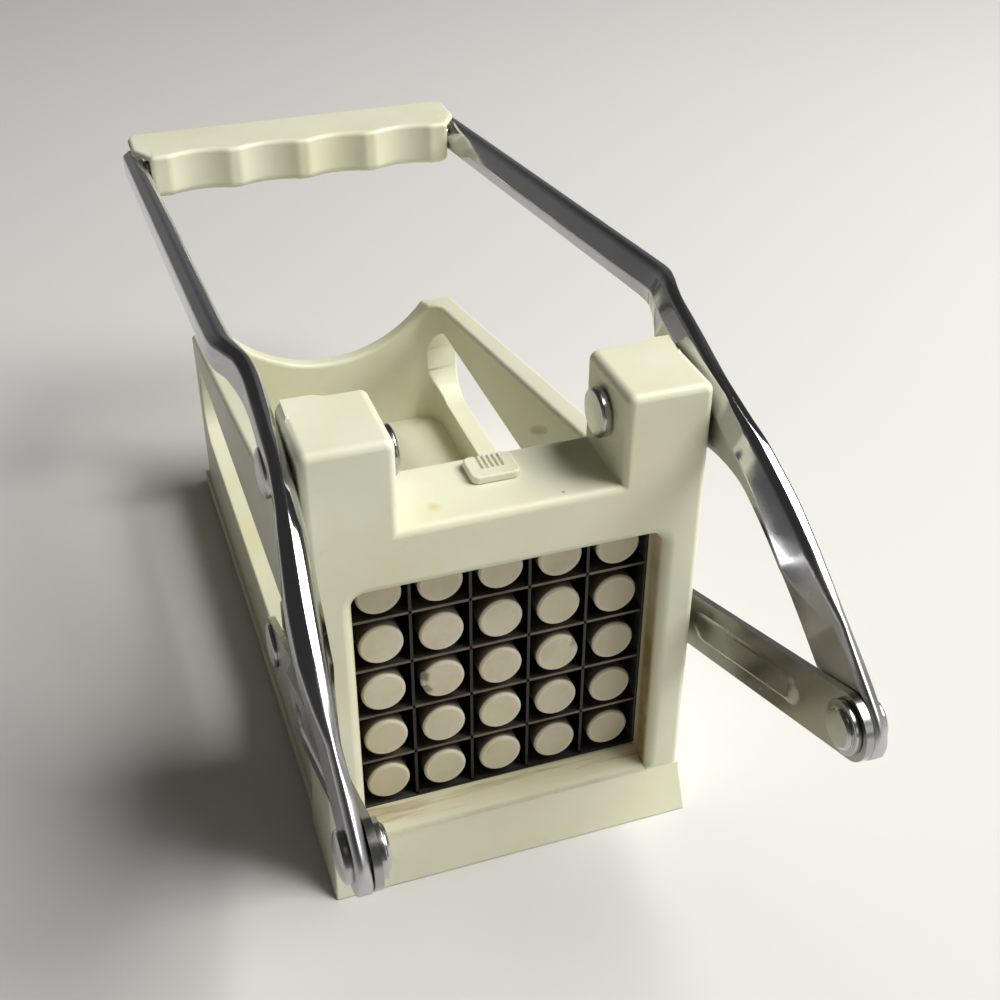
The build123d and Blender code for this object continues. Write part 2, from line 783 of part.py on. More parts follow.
# Links: joggled flat bars from the crank ends back to the pusher pins
link_length = hypot(pusher_pin_y - crank_y, pusher_pin_height - crank_z)
along = heading(crank, (pusher_pin_y, pusher_pin_height))
link_step = link_front_inner - link_rear_inner
with BuildPart() as right_link:
    plan_plane = Plane(origin=(0, *crank), x_dir=(0, *along), z_dir=(0, along[1], -along[0]))
    outline_plane = Plane(origin=(0, *crank), x_dir=(0, *along), z_dir=(1, 0, 0))
    with BuildSketch(plan_plane):
        with BuildLine():
            Polyline(
                (-link_width, link_front_inner),
                (joggle_start, link_front_inner),
                (joggle_start + joggle_length, link_rear_inner),
                (link_length + link_width, link_rear_inner),
                (link_length + link_width, link_rear_inner + link_thickness),
                (joggle_start + joggle_length, link_rear_inner + link_thickness),
                (joggle_start, link_front_inner + link_thickness),
                (-link_width, link_front_inner + link_thickness),
                close=True,
            )
        make_face()
    extrude(amount=link_width, both=True)
    with BuildSketch(outline_plane):
        with Locations((link_length / 2, 0)):
            SlotCenterToCenter(link_length, link_width)
    extrude(amount=2 * arm_outer, mode=Mode.INTERSECT)
    # Rib pressed through from the outside, ahead of the joggle
    rib_rear = joggle_start - link_rib_width
    rib_middle = (link_rib_front + rib_rear) / 2
    with BuildSketch(outline_plane.offset(link_front_inner - link_rib_height)):
        with Locations((rib_middle, 0)):
            SlotOverall(rib_rear - link_rib_front, link_rib_width)
    extrude(amount=link_thickness)
    with BuildSketch(outline_plane.offset(link_front_inner + link_thickness - link_rib_height)):
        with Locations((rib_middle, 0)):
            SlotOverall(rib_rear - link_rib_front, link_rib_width - link_thickness)
    extrude(amount=link_thickness, mode=Mode.SUBTRACT)
    with BuildSketch(outline_plane):
        with Locations((0, 0)):
            Circle(link_rivet_diameter / 2 + running_fit)
        with Locations((link_length, 0)):
            Circle(link_rivet_diameter / 2 + fixed_fit)
    extrude(amount=2 * arm_outer, mode=Mode.SUBTRACT)
right_link.part.label = "right_link"
export_step(right_link.part, "parts/right_link.step")

with BuildPart() as left_link:
    mirror(right_link.part, about=Plane.YZ)
left_link.part.label = "left_link"
export_step(left_link.part, "parts/left_link.step")

# Link rivets: stepped heads inside, domed heads outside the levers
for name, side in sides:
    with BuildPart() as link_rivet:
        flange_end = link_front_inner - side_play / 2
        cap_end = flange_end - rivet_flange
        outer_end = lever_crank_outer + rivet_outer_head
        with BuildSketch(turned_plane(side, *crank)):
            with BuildLine():
                steps = Polyline(
                    (outer_end, 0),
                    (cap_end - rivet_cap, 0),
                    (cap_end - rivet_cap, rivet_cap_diameter / 2 - rivet_cap_edge),
                    (cap_end - rivet_cap + rivet_cap_edge, rivet_cap_diameter / 2),
                    (cap_end, rivet_cap_diameter / 2),
                    (cap_end, rivet_head_diameter / 2),
                    (flange_end, rivet_head_diameter / 2),
                    (flange_end, link_rivet_diameter / 2),
                    (lever_crank_outer, link_rivet_diameter / 2),
                    (lever_crank_outer, rivet_outer_diameter / 2),
                    (outer_end - head_dome, rivet_outer_diameter / 2),
                )
                RadiusArc(steps @ 1, steps @ 0, dome_radius(rivet_outer_diameter / 2, head_dome))
            make_face()
        revolve(axis=Axis((0, *crank), (1, 0, 0)))
    link_rivet.part.label = f"{name}_link_rivet"
    export_step(link_rivet.part, f"parts/{name}_link_rivet.step")

# Pusher rivets: the heads on the outside of the links, in line with the pusher pins
for name, side in sides:
    with BuildPart() as pusher_rivet:
        link_outer = link_rear_inner + link_thickness
        outer_end = link_outer + pusher_rivet_head
        with BuildSketch(turned_plane(side, pusher_pin_y, pusher_pin_height)):
            with BuildLine():
                steps = Polyline(
                    (outer_end, 0),
                    (link_rear_inner, 0),
                    (link_rear_inner, link_rivet_diameter / 2),
                    (link_outer, link_rivet_diameter / 2),
                    (link_outer, rivet_head_diameter / 2),
                    (outer_end - head_dome, rivet_head_diameter / 2),
                )
                RadiusArc(steps @ 1, steps @ 0, dome_radius(rivet_head_diameter / 2, head_dome))
            make_face()
        revolve(axis=Axis((0, pusher_pin_y, pusher_pin_height), (1, 0, 0)))
    pusher_rivet.part.label = f"{name}_pusher_rivet"
    export_step(pusher_rivet.part, f"parts/{name}_pusher_rivet.step")

# Grip with finger hollows along its front
grip_half = arm_inner - grip_end_gap
grip_back = handle_end[0] + grip_rear_margin
grip_front = grip_back - grip_depth
grip_bottom = grip_fix[1] - grip_height / 2 - grip_drop
hollow_pitch = (2 * (grip_half - grip_end_flat) + grip_ridge) / grip_fingers
hollow_radius = dome_radius((hollow_pitch - grip_ridge) / 2, grip_hollow)
with BuildPart() as grip:
    with BuildSketch(Plane.XY.offset(grip_bottom)) as grip_outline:
        with Locations((0, (grip_front + grip_back) / 2)):
            bar = Rectangle(2 * grip_half, grip_depth)
        fillet(bar.vertices().group_by(Axis.Y)[0], grip_front_corner)
        fillet(bar.vertices().group_by(Axis.Y)[-1], grip_rear_corner)
        with Locations((0, grip_front + grip_hollow - hollow_radius)):
            with GridLocations(hollow_pitch, 0, grip_fingers, 1):
                Circle(hollow_radius, mode=Mode.SUBTRACT)
        hollow_edges = grip_outline.edges().filter_by(
            lambda edge: edge.geom_type == GeomType.CIRCLE and abs(edge.radius - hollow_radius) < grip_round
        )
        fillet(hollow_edges.vertices(), grip_ridge_round)
    extrude(amount=grip_height)
    # Lip that reaches over the lever ends
    with BuildSketch(Plane.XY.offset(grip_bottom + grip_height - grip_lip_thickness)):
        with Locations((0, grip_back - (grip_depth - grip_lip_setback) / 2)):
            RectangleRounded(2 * (grip_half + grip_lip_reach), grip_depth - grip_lip_setback, grip_lip_corner)
    extrude(amount=grip_lip_thickness)
    fillet(grip.faces().sort_by(Axis.Z)[-1].edges(), grip_top_round)
    fillet(grip.faces().sort_by(Axis.Z)[0].edges(), grip_round)
    with Locations((0, *grip_fix)):
        Cylinder(grip_pin_diameter / 2 + fixed_fit, 3 * grip_half, rotation=(0, 90, 0), mode=Mode.SUBTRACT)
        Cylinder(grip_pin_diameter / 2 + fixed_fit, 2 * (grip_half - grip_pin_depth), rotation=(0, 90, 0))
grip.part.label = "grip"
export_step(grip.part, "parts/grip.step")

# Grip pins: driven through the lever ends into the grip, flush outside
for name, side in sides:
    with BuildPart() as grip_pin:
        pin_start = grip_half - grip_pin_depth + fixed_fit
        with BuildSketch(turned_plane(side, *grip_fix)):
            with BuildLine():
                steps = Polyline(
                    (arm_outer, 0),
                    (pin_start, 0),
                    (pin_start, grip_pin_diameter / 2),
                    (arm_outer - head_dome, grip_pin_diameter / 2),
                )
                RadiusArc(steps @ 1, steps @ 0, dome_radius(grip_pin_diameter / 2, head_dome))
            make_face()
        revolve(axis=Axis((0, *grip_fix), (1, 0, 0)))
    grip_pin.part.label = f"{name}_grip_pin"
    export_step(grip_pin.part, f"parts/{name}_grip_pin.step")
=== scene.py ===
"""Finished looks of a lever potato chipper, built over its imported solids.

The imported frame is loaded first. Each operator then builds one piece, or one
group of like pieces, in metres in the same frame, and hands it to the body it
moves with. The last operator sets the floor, the lamps and the camera.
"""

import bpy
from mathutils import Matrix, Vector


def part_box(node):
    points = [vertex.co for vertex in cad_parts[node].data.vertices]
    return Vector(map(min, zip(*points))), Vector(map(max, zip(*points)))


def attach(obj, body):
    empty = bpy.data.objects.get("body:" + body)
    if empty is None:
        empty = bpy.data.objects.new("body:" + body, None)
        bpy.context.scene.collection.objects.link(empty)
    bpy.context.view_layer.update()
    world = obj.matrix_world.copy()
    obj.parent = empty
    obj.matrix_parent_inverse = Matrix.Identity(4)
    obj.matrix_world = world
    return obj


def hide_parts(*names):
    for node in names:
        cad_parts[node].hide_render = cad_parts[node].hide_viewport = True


bl_info = {
    "name": "Lever Potato Chipper",
    "version": (1, 0, 0),
    "blender": (4, 5, 0),
    "location": "View3D > Sidebar > Chipper",
    "description": "Builds the finished pieces of a lever potato chipper over its packed solids",
    "category": "Object",
}

from math import copysign, cos, hypot, pi, radians, sin, sqrt

import bmesh
import bpy
from bpy.props import FloatProperty, FloatVectorProperty, IntProperty, PointerProperty
from mathutils import Matrix, Vector

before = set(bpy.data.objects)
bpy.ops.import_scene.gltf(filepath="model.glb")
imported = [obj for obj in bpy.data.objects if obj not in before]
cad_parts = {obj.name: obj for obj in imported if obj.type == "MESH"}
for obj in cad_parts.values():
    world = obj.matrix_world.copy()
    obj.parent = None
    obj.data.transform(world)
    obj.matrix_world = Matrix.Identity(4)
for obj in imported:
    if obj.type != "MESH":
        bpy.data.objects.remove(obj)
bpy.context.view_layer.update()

MM = 0.001
SIDES = (("left", -1), ("right", 1))

# Marks the scene's own materials, apart from those that come with the frame
FINISH = "finish_"

# Edges that turn by more than this are kept sharp, or rounded: on mouldings, pressed and turned parts
SHARP = radians(32)
PRESSED_SHARP = radians(40)
TURNED_SHARP = radians(50)

# Coordinates nearer than this count as equal, lengths under this count as nothing, and faces that turn by
# less than this count as one
CLOSE = 1e-5
TINY = 1e-6
FLAT = radians(0.5)


# Settings that can be changed in the sidebar


def length(label, text, default):
    """A length setting in metres, given here in millimetres."""
    return FloatProperty(name=label, description=text, default=default * MM, unit="LENGTH", precision=5)


def colour(label, text, default):
    """A colour setting, linear."""
    return FloatVectorProperty(
        name=label, description=text, default=default, subtype="COLOR", size=3, min=0.0, max=1.0
    )


class ChipperSizes(bpy.types.PropertyGroup):
    """Sizes of the finished pieces."""

    edge: length("Moulded edge", "Width of the rounding on the housing edges", 0.45)
    window_edge: length("Window edge", "Width of the rounding on the window's front edges", 2.3)
    small_edge: length("Small edge", "Width of the rounding on the small mouldings", 0.2)
    peg_pitch: length("Peg pitch", "Distance between neighbouring pegs and blades", 12.0)
    peg_radius: length("Peg radius", "Radius of a pusher peg", 4.45)
    peg_chip: length("Peg chip", "Depth of the chips on the peg rims", 1.4)
    peg_count: IntProperty(
        name="Peg count", description="Pegs along each side of the square", default=5, min=2
    )
    link_width: length("Link width", "Width of a link bar", 12.2)
    link_thickness: length("Link thickness", "Thickness of a link bar", 1.4)
    rib_height: length("Rib height", "Height of the pressed rib in a link", 0.45)


class ChipperColours(bpy.types.PropertyGroup):
    """Colours of the finished pieces."""

    cream: colour("Cream", "Moulded plastic", (0.785, 0.785, 0.61))
    cream_aged: colour("Aged cream", "Moulded plastic where it has yellowed", (0.73, 0.715, 0.48))
    # This colour is the potato stains and also the painted shade in the dent inside the right wall
    stain_and_shade: colour("Stain", "Potato stain inside the window", (0.23, 0.135, 0.040))
    juice: colour("Juice", "Yellow potato juice", (0.62, 0.50, 0.17))
    # Painted shade: a dark colour that stands for the shade deep inside the window
    cassette: colour("Cassette", "Dark plastic of the blade frame", (0.040, 0.040, 0.037))
    peg: colour("Peg", "Pusher plastic", (0.68, 0.640, 0.475))
    # This colour is the pegs' worn, yellowed plastic and also, dimmed, their painted shade
    peg_aged_and_shade: colour("Aged peg", "Pusher plastic where it is worn", (0.59, 0.52, 0.34))
    # A paler band round the edge of each peg's top
    peg_rim: colour("Peg rim", "Rubbed rim of the pegs", (0.74, 0.68, 0.56))
    # This colour is both a real dark speck on the housing and the painted shade on the sides of the pegs
    soil: colour("Soil", "Dirt on the sides of the pegs", (0.085, 0.060, 0.038))
    chrome: colour("Chrome", "Plating of the levers", (0.56, 0.56, 0.57))
    link: colour("Link steel", "Duller plating of the links", (0.42, 0.42, 0.40))
    rivet: colour("Rivet steel", "Rivets and pins", (0.52, 0.52, 0.51))
    # The blades' dark colour is painted shade: steel made dark to stand for the shade deep inside the
    # window
    blade: colour("Blade steel", "Blades", (0.05, 0.047, 0.043))
    # Lighter, less metallic patches on the lying blades
    lying_blade_tone: colour("Starch", "Dried film on the lying blades", (0.16, 0.135, 0.10))
    floor: colour("Floor", "Studio floor", (0.74, 0.73, 0.71))


# Node trees


class Nodes:
    """A node tree, with short ways to add the nodes used most."""

    def __init__(self, tree):
        self.tree = tree

    def supply(self, node, values):
        """Pairs the sockets of a node with constants or with sockets to link from."""
        for socket, value in values.items():
            if isinstance(value, bpy.types.NodeSocket):
                self.tree.links.new(value, node.inputs[socket])
            else:
                node.inputs[socket].default_value = value

    def put(self, kind, values=None, **settings):
        """Adds a node with its settings and the values of its sockets."""
        node = self.tree.nodes.new(kind)
        for name, value in settings.items():
            setattr(node, name, value)
        self.supply(node, values or {})
        return node

    def first(self, kind, values=None, **settings):
        """The first output of a new node."""
        return self.put(kind, values, **settings).outputs[0]

    def maths(self, operation, one, other=0.0):
        """One step of arithmetic."""
        return self.first("ShaderNodeMath", {0: one, 1: other}, operation=operation)

    def product(self, *factors):
        """All the factors multiplied."""
        result = factors[0]
        for factor in factors[1:]:
            result = self.maths("MULTIPLY", result, factor)
        return result

    def span(self, value, low, high, to_low=0.0, to_high=1.0):
        """The value carried from one range to another and held inside it."""
        return self.first("ShaderNodeMapRange", {0: value, 1: low, 2: high, 3: to_low, 4: to_high})

    def zone(self, *ranges):
        """The product of spans, each given by its value and its range."""
        return self.product(*[self.span(*limits) for limits in ranges])

    def axes(self, vector):
        """The three parts of a vector."""
        return self.put("ShaderNodeSeparateXYZ", {0: vector}).outputs

    def vector(self, x=0.0, y=0.0, z=0.0):
        """A vector from its three parts."""
        return self.first("ShaderNodeCombineXYZ", {0: x, 1: y, 2: z})


class Shade(Nodes):
    """A material with one principled shader, and the colours and textures that feed it."""

    def __init__(self, name, rgb, specular=0.5, metallic=0.0):
        self.material = bpy.data.materials.new(FINISH + name)
        self.material.use_nodes = True
        super().__init__(self.material.node_tree)
        self.tree.nodes.clear()
        self.shader = self.put(
            "ShaderNodeBsdfPrincipled", {"Specular IOR Level": specular, "Metallic": metallic}
        )
        self.put("ShaderNodeOutputMaterial", {0: self.shader.outputs[0]})
        self.place = self.put("ShaderNodeTexCoord").outputs["Object"]
        self.tint = (*rgb, 1.0)

    def millimetres(self):
        """The object's own coordinates in millimetres."""
        return [self.maths("DIVIDE", part, MM) for part in self.axes(self.place)]

    def noise(self, scale, detail=4.0, roughness=0.55, stretch=None):
        """Noise over the object's own coordinates, stretched along its axes if asked."""
        place = self.place
        if stretch:
            place = self.first("ShaderNodeMapping", {"Vector": place, "Scale": stretch})
        values = {"Vector": place, "Scale": scale, "Detail": detail, "Roughness": roughness}
        return self.put("ShaderNodeTexNoise", values).outputs["Fac"]

    def near(self, point, inner, outer):
        """One close to a point, falling to nothing at the outer distance, in millimetres."""
        ends = {0: self.place, 1: Vector(point) * MM}
        gap = self.put("ShaderNodeVectorMath", ends, operation="DISTANCE").outputs["Value"]
        return self.span(gap, outer * MM, inner * MM)

    def attribute(self, name):
        """A number stored on the mesh."""
        return self.put("ShaderNodeAttribute", attribute_name=name).outputs["Fac"]

    def paint(self, rgb, *factors, dim=1.0):
        """Lays a colour, dimmed if asked, over the colour so far, by the product of the factors."""
        over = (*[part * dim for part in rgb], 1.0)
        layers = {0: self.product(*factors), 6: self.tint, 7: over}
        self.tint = self.put("ShaderNodeMix", layers, data_type="RGBA").outputs[2]

    def end(self, roughness, *layers, **others):
        """Feeds the shader; each bump layer is a height, its strength and its depth in millimetres."""
        for height, strength, depth in layers:
            bump = {"Height": height, "Strength": strength, "Distance": depth * MM}
            if "Normal" in others:
                bump["Normal"] = others["Normal"]
            others["Normal"] = self.first("ShaderNodeBump", bump)
        self.supply(self.shader, {"Base Color": self.tint, "Roughness": roughness, **others})


class Growth(Nodes):
    """A geometry tree with one geometry in and out, and the named inputs."""

    def __init__(self, name, **inputs):
        super().__init__(bpy.data.node_groups.new(name, "GeometryNodeTree"))
        for label, kind in (("Geometry", "Geometry"), *inputs.items()):
            self.tree.interface.new_socket(label, in_out="INPUT", socket_type="NodeSocket" + kind)
        self.tree.interface.new_socket("Geometry", in_out="OUTPUT", socket_type="NodeSocketGeometry")
        self.given = self.put("NodeGroupInput").outputs

    def part(self, label):
        """The geometry of a given object."""
        return self.put("GeometryNodeObjectInfo", {"Object": self.given[label]}).outputs["Geometry"]

    def compare(self, operation, one, other):
        """True where the comparison holds."""
        return self.first("FunctionNodeCompare", {"A": one, "B": other}, operation=operation)

    def moved(self, geometry, **change):
        """The geometry turned or shifted as a whole."""
        return self.first("GeometryNodeTransform", {"Geometry": geometry, **change})

    def copies(self, points, part, turn=(0.0, 0.0, 0.0)):
        """Instances of a part on the points."""
        values = {"Points": points, "Instance": part, "Rotation": turn}
        return self.first("GeometryNodeInstanceOnPoints", values)

    def real(self, instances):
        """Plain geometry in place of the instances."""
        return self.first("GeometryNodeRealizeInstances", {0: instances})

    def store(self, geometry, name, value, domain="POINT"):
        """The geometry with a named number stored on it."""
        values = {"Geometry": geometry, "Name": name, "Value": value}
        return self.first("GeometryNodeStoreNamedAttribute", values, data_type="FLOAT", domain=domain)

    def join(self, *parts):
        """The parts as one geometry."""
        both = self.put("GeometryNodeJoinGeometry")
        for part in parts:
            self.tree.links.new(part, both.inputs[0])
        return both.outputs[0]

    def end(self, geometry):
        """The tree, giving out the geometry in its finish."""
        done = self.first(
            "GeometryNodeSetMaterial", {"Geometry": geometry, "Material": self.given["Finish"]}
        )
        self.put("NodeGroupOutput", {0: done})
        return self.tree


# Materials, with places in millimetres

# Places in y between which the levers' plating dulls towards the crank plates
CRANK_DULL = (-26.0, -34.0)

# Stretch of the noise that makes hairlines along plated parts
HAIRLINES = (1.0, 0.05, 0.35)


def cream_plastic(hues):
    """Aged cream moulding, yellowed in places, stained inside the window, with painted shade in the dent
    inside the right wall.
    """
    shade = Shade("cream_plastic", hues.cream, specular=0.45)
    x, y, z = shade.millimetres()
    side = shade.maths("ABSOLUTE", x)
    cloud = shade.noise(170.0, 5.0, 0.65)
    shade.paint(hues.cream_aged, shade.span(shade.noise(28.0, 5.0, 0.6), 0.42, 0.72))
    grime = shade.span(shade.noise(210.0, 6.0, 0.7), 0.62, 0.80, 0.0, 0.35)
    shade.paint(hues.cream_aged, grime, dim=0.82)
    behind = (y, 8.0, 7.6)
    reveal = shade.zone((side, 30.0, 30.2), (side, 31.8, 30.8), (y, 0.3, 1.2), behind, (z, 76.0, 74.8))
    shade.paint(hues.juice, reveal, 0.30)
    band = shade.zone((y, 1.2, 2.2), (y, 4.8, 6.2, 1.0, 0.15), (z, 62.0, 42.0, 0.60, 1.0))
    shade.paint(hues.stain_and_shade, reveal, band, shade.span(cloud, 0.35, 0.65, 0.70, 1.0))
    sill = shade.zone((side, 30.5, 30.3), (z, 13.8, 13.4), behind)
    shade.paint(hues.juice, sill, shade.span(y, 0.8, 4.0, 0.05, 0.30))
    edge = shade.zone((y, 6.2, 7.4, 0.0, 0.8), (x, -10.0, 22.0))
    streaks = shade.noise(330.0, 4.0, 0.6, (0.08, 1.0, 1.0))
    dirt = shade.zone((streaks, 0.54, 0.70, 0.0, 0.65), (y, 1.8, 3.4))
    shade.paint(hues.stain_and_shade, sill, shade.maths("MAXIMUM", edge, dirt))
    fold = shade.maths("ABSOLUTE", shade.maths("SUBTRACT", z, 11.1))
    seam = shade.zone((fold, 0.1, 0.4, 0.5, 0.0), (y, 1.2, 0.4), (side, 31.0, 30.0))
    shade.paint(hues.stain_and_shade, seam, shade.span(cloud, 0.3, 0.7, 0.35, 0.75))
    spot = shade.near((-13.5, 5.4, 85.6), 0.3, 1.7)
    shade.paint(hues.juice, spot, 0.55)
    # Painted shade in the long dent inside the right wall, darker the deeper the surface lies
    dent = shade.span(x, 31.05, 31.30, 0.0, 0.40)
    shade.paint(hues.stain_and_shade, dent, shade.near(DENT_MIDDLE / MM, 6.6, 7.6))
    speck = shade.near((10.1, 2.3, 85.6), 0.1, 0.4)
    shade.paint(hues.soil, speck, 0.8)
    shade.end(
        shade.span(shade.noise(75.0, 4.0, 0.6), 0.3, 0.7, 0.30, 0.46),
        (shade.noise(38.0, 2.0, 0.4), 0.35, 0.25),
        (shade.noise(1500.0, 2.0, 0.5), 0.12, 0.05),
    )


def peg_plastic(hues):
    """Pusher plastic: a warmer cream, differing a little from peg to peg, with painted shade on the pegs'
    sides, in their chips and towards the right.
    """
    shade = Shade("peg_plastic", hues.peg, specular=0.4)
    x, _, z = shade.millimetres()
    wear = shade.span(shade.noise(160.0, 5.0, 0.65), 0.45, 0.72)
    shade.paint(hues.peg_aged_and_shade, wear)
    shade.paint(hues.peg_aged_and_shade, shade.attribute("age"), 0.55)
    # Painted shade in the chipped notches of the peg rims
    shade.paint(hues.peg_aged_and_shade, shade.attribute("chip"), dim=0.45)
    # Painted shade: the pegs grow darker towards the right, most of all low down
    shadow = shade.zone((x, 8.0, 26.0, 0.0, 0.55), (z, 70.0, 30.0, 0.4, 1.0))
    shade.paint(hues.peg_aged_and_shade, shadow, dim=0.72)
    shade.paint(hues.peg_aged_and_shade, shade.zone((x, 0.0, -20.0, 0.0, 0.6), (z, 45.0, 20.0)))
    # A paler band round the edge of each peg's top
    shade.paint(hues.peg_rim, shade.attribute("rim"), 0.5)
    # Painted shade: the sides of the pegs darken below their tops, where shade falls between the blades
    shade.paint(hues.soil, shade.attribute("soil"), shade.span(wear, 0.0, 1.0, 0.80, 0.95))
    shade.end(shade.span(shade.noise(240.0), 0.3, 0.7, 0.38, 0.58), (shade.noise(900.0, 3.0), 0.2, 0.06))


def cassette_plastic(hues):
    """Plastic of the blade frame, dusty in places; its dark colour is painted shade for the deep inside of
    the window.
    """
    shade = Shade("cassette_plastic", hues.cassette, specular=0.4)
    dust = shade.span(shade.noise(120.0, 5.0, 0.65), 0.5, 0.8, 0.0, 0.5)
    shade.paint(hues.cassette, dust, dim=2.5)
    shade.end(shade.span(shade.noise(200.0), 0.3, 0.7, 0.42, 0.6), (shade.noise(900.0, 2.0), 0.15, 0.05))


def plated_metal(name, tint, smooth, rough, wave, streak, dulled=0.0):
    """Plated steel with a faint waviness, hairlines along the part, and a duller crank end if asked."""
    shade = Shade(name, tint, metallic=1.0)
    shade.paint(tint, shade.span(shade.noise(55.0, 5.0, 0.6), 0.35, 0.75), dim=0.86)
    gloss = shade.span(shade.noise(130.0, 5.0, 0.65), 0.3, 0.75, smooth, rough)
    if dulled:
        gloss = shade.maths("ADD", gloss, shade.span(shade.millimetres()[1], *CRANK_DULL, 0.0, dulled))
    hairs = shade.noise(1400.0, 3.0, 0.6, HAIRLINES)
    shade.end(gloss, (shade.noise(70.0, 2.0, 0.4), wave, 0.3), (hairs, streak, 0.05))


def blade_steel(hues):
    """Blade steel made dark as painted shade for the deep inside of the window, lighter and less metallic
    in patches on the lying blades.
    """
    shade = Shade("blade_steel", hues.blade)
    # Lighter, less metallic patches on the lying blades
    patchy = shade.span(shade.noise(140.0, 5.0, 0.65), 0.35, 0.65, 0.35, 1.0)
    lighter_patches = shade.product(shade.attribute("lying"), patchy)
    shade.paint(hues.lying_blade_tone, lighter_patches)
    gloss = shade.span(shade.noise(130.0, 5.0, 0.65), 0.3, 0.75, 0.26, 0.45)
    hairs = shade.noise(1400.0, 3.0, 0.6, HAIRLINES)
    shade.end(gloss, (hairs, 0.15, 0.05), Metallic=shade.span(lighter_patches, 0.0, 1.0, 1.0, 0.3))


def floor_shade(hues):
    """Plain pale studio floor."""
    shade = Shade("studio_floor", hues.floor, specular=0.2)
    shade.paint(hues.floor, shade.noise(3.0, 3.0), dim=0.97)
    shade.end(0.8)


def finish(slot_name):
    """The scene's own material for a slot."""
    return bpy.data.materials[FINISH + slot_name]


def dress(piece, slot_name):
    """Gives a piece its one material."""
    piece.data.materials.clear()
    piece.data.materials.append(finish(slot_name))


# Mesh helpers


def new_object(name, data):
    """An object at the origin holding the mesh, lamp or camera."""
    piece = bpy.data.objects.new(name, data)
    bpy.context.scene.collection.objects.link(piece)
    return piece


def drop(piece):
    """Removes a helper object."""
    bpy.data.objects.remove(piece)


def baked(piece):
    """The piece with its modifiers turned into mesh."""
    graph = bpy.context.evaluated_depsgraph_get()
    mesh = bpy.data.meshes.new_from_object(piece.evaluated_get(graph))
    mesh.name = piece.name
    piece.modifiers.clear()
    piece.data = mesh
    return piece


def mesh_from(name, shape, sharp=SHARP):
    """A smooth-shaded mesh from a bmesh, with its creases and edges sharper than the angle kept."""
    bmesh.ops.recalc_face_normals(shape, faces=shape.faces)
    mesh = bpy.data.meshes.new(name)
    shape.to_mesh(mesh)
    shape.free()
    mesh.polygons.foreach_set("use_smooth", [True] * len(mesh.polygons))
    creases = [edge.index for edge in mesh.edges if edge.use_edge_sharp]
    mesh.set_sharp_from_angle(angle=sharp)
    for crease in creases:
        mesh.edges[crease].use_edge_sharp = True
    return mesh


def cut(shape, axis, level, clear=False):
    """Cuts a bmesh across an axis, and clears what lies below the cut if asked."""
    normal = Vector([float(place == axis) for place in range(3)])
    geometry = shape.verts[:] + shape.edges[:] + shape.faces[:]
    bmesh.ops.bisect_plane(
        shape, geom=geometry, dist=TINY, plane_co=normal * level, plane_no=normal, clear_inner=clear
    )


def fill(shape):
    """Closes the holes of a bmesh."""
    bmesh.ops.holes_fill(shape, edges=[edge for edge in shape.edges if edge.is_boundary])


def merge_flat(shape):
    """Joins neighbouring faces that lie in one plane."""
    bmesh.ops.dissolve_limit(
        shape, angle_limit=FLAT, verts=shape.verts, edges=shape.edges, delimit=set()
    )


def joined_solid(node_name):
    """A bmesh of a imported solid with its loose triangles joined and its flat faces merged."""
    shape = bmesh.new()
    shape.from_mesh(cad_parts[node_name].data)
    bmesh.ops.remove_doubles(shape, verts=shape.verts, dist=2 * TINY)
    merge_flat(shape)
    bmesh.ops.recalc_face_normals(shape, faces=shape.faces)
    return shape


def softened(shape, width, chosen=lambda edge: True):
    """Rounds the sharp edges of a bmesh that are chosen."""
    sharp = [edge for edge in shape.edges if edge.is_manifold and edge.calc_face_angle() > SHARP]
    bmesh.ops.bevel(
        shape,
        geom=[edge for edge in sharp if chosen(edge)],
        offset=width,
        segments=3,
        profile=0.5,
        affect="EDGES",
        clamp_overlap=False,
        miter_outer="ARC",
    )


def moulding(name, shape, cutter=None):
    """A piece from a bmesh, less the cutter, with the shading of its flat faces kept flat."""
    piece = new_object(name, mesh_from(name, shape))
    if cutter:
        recess = piece.modifiers.new("recess", "BOOLEAN")
        recess.operation = "DIFFERENCE"
        recess.object = cutter
    weight = piece.modifiers.new("shading", "WEIGHTED_NORMAL")
    weight.keep_sharp = True
    return baked(piece)


def tube(shape, rings):
    """Joins closed rings of vertices, where a ring of one is a tip, and gives the caps of open ends."""
    for first, second in zip(rings, rings[1:]):
        for step in range(max(len(first), len(second))):
            after = step + 1
            corners = [first[step % len(first)], first[after % len(first)]]
            corners += [second[after % len(second)], second[step % len(second)]]
            shape.faces.new(list(dict.fromkeys(corners)))
    return [shape.faces.new(ring) for ring in (rings[0], rings[-1]) if len(ring) > 2]


def between(before, start, end, after, part):
    """A point on the smooth curve through four values."""
    return 0.5 * (
        2 * start
        + (end - before) * part
        + (2 * before - 5 * start + 4 * end - after) * part**2
        + (3 * start - before - 3 * end + after) * part**3
    )


def through(rows, steps):
    """Rows of numbers with smooth rows added between them."""
    result = []
    last = len(rows) - 1
    for index in range(last):
        four = [rows[max(0, min(last, index + shift))] for shift in (-1, 0, 1, 2)]
        for step in range(steps):
            result.append([between(*values, step / steps) for values in zip(*four)])
    result.append(list(rows[-1]))
    return result


def held(part):
    """The part held between 0 and 1."""
    return min(max(part, 0.0), 1.0)


def ease(part):
    """The part held between 0 and 1, with a soft start and end."""
    return held(part) ** 2 * (3 - 2 * held(part))


def bend(start, corner, end, steps):
    """Points of the curve from start to end that bends towards the corner."""
    parts = [step / steps for step in range(steps + 1)]
    return [start * (1 - part) ** 2 + corner * 2 * part * (1 - part) + end * part**2 for part in parts]


# The share of a line's or a section's side that the rounding of a corner may take up
LINE_SHARE = 0.45
SECTION_SHARE = 0.48


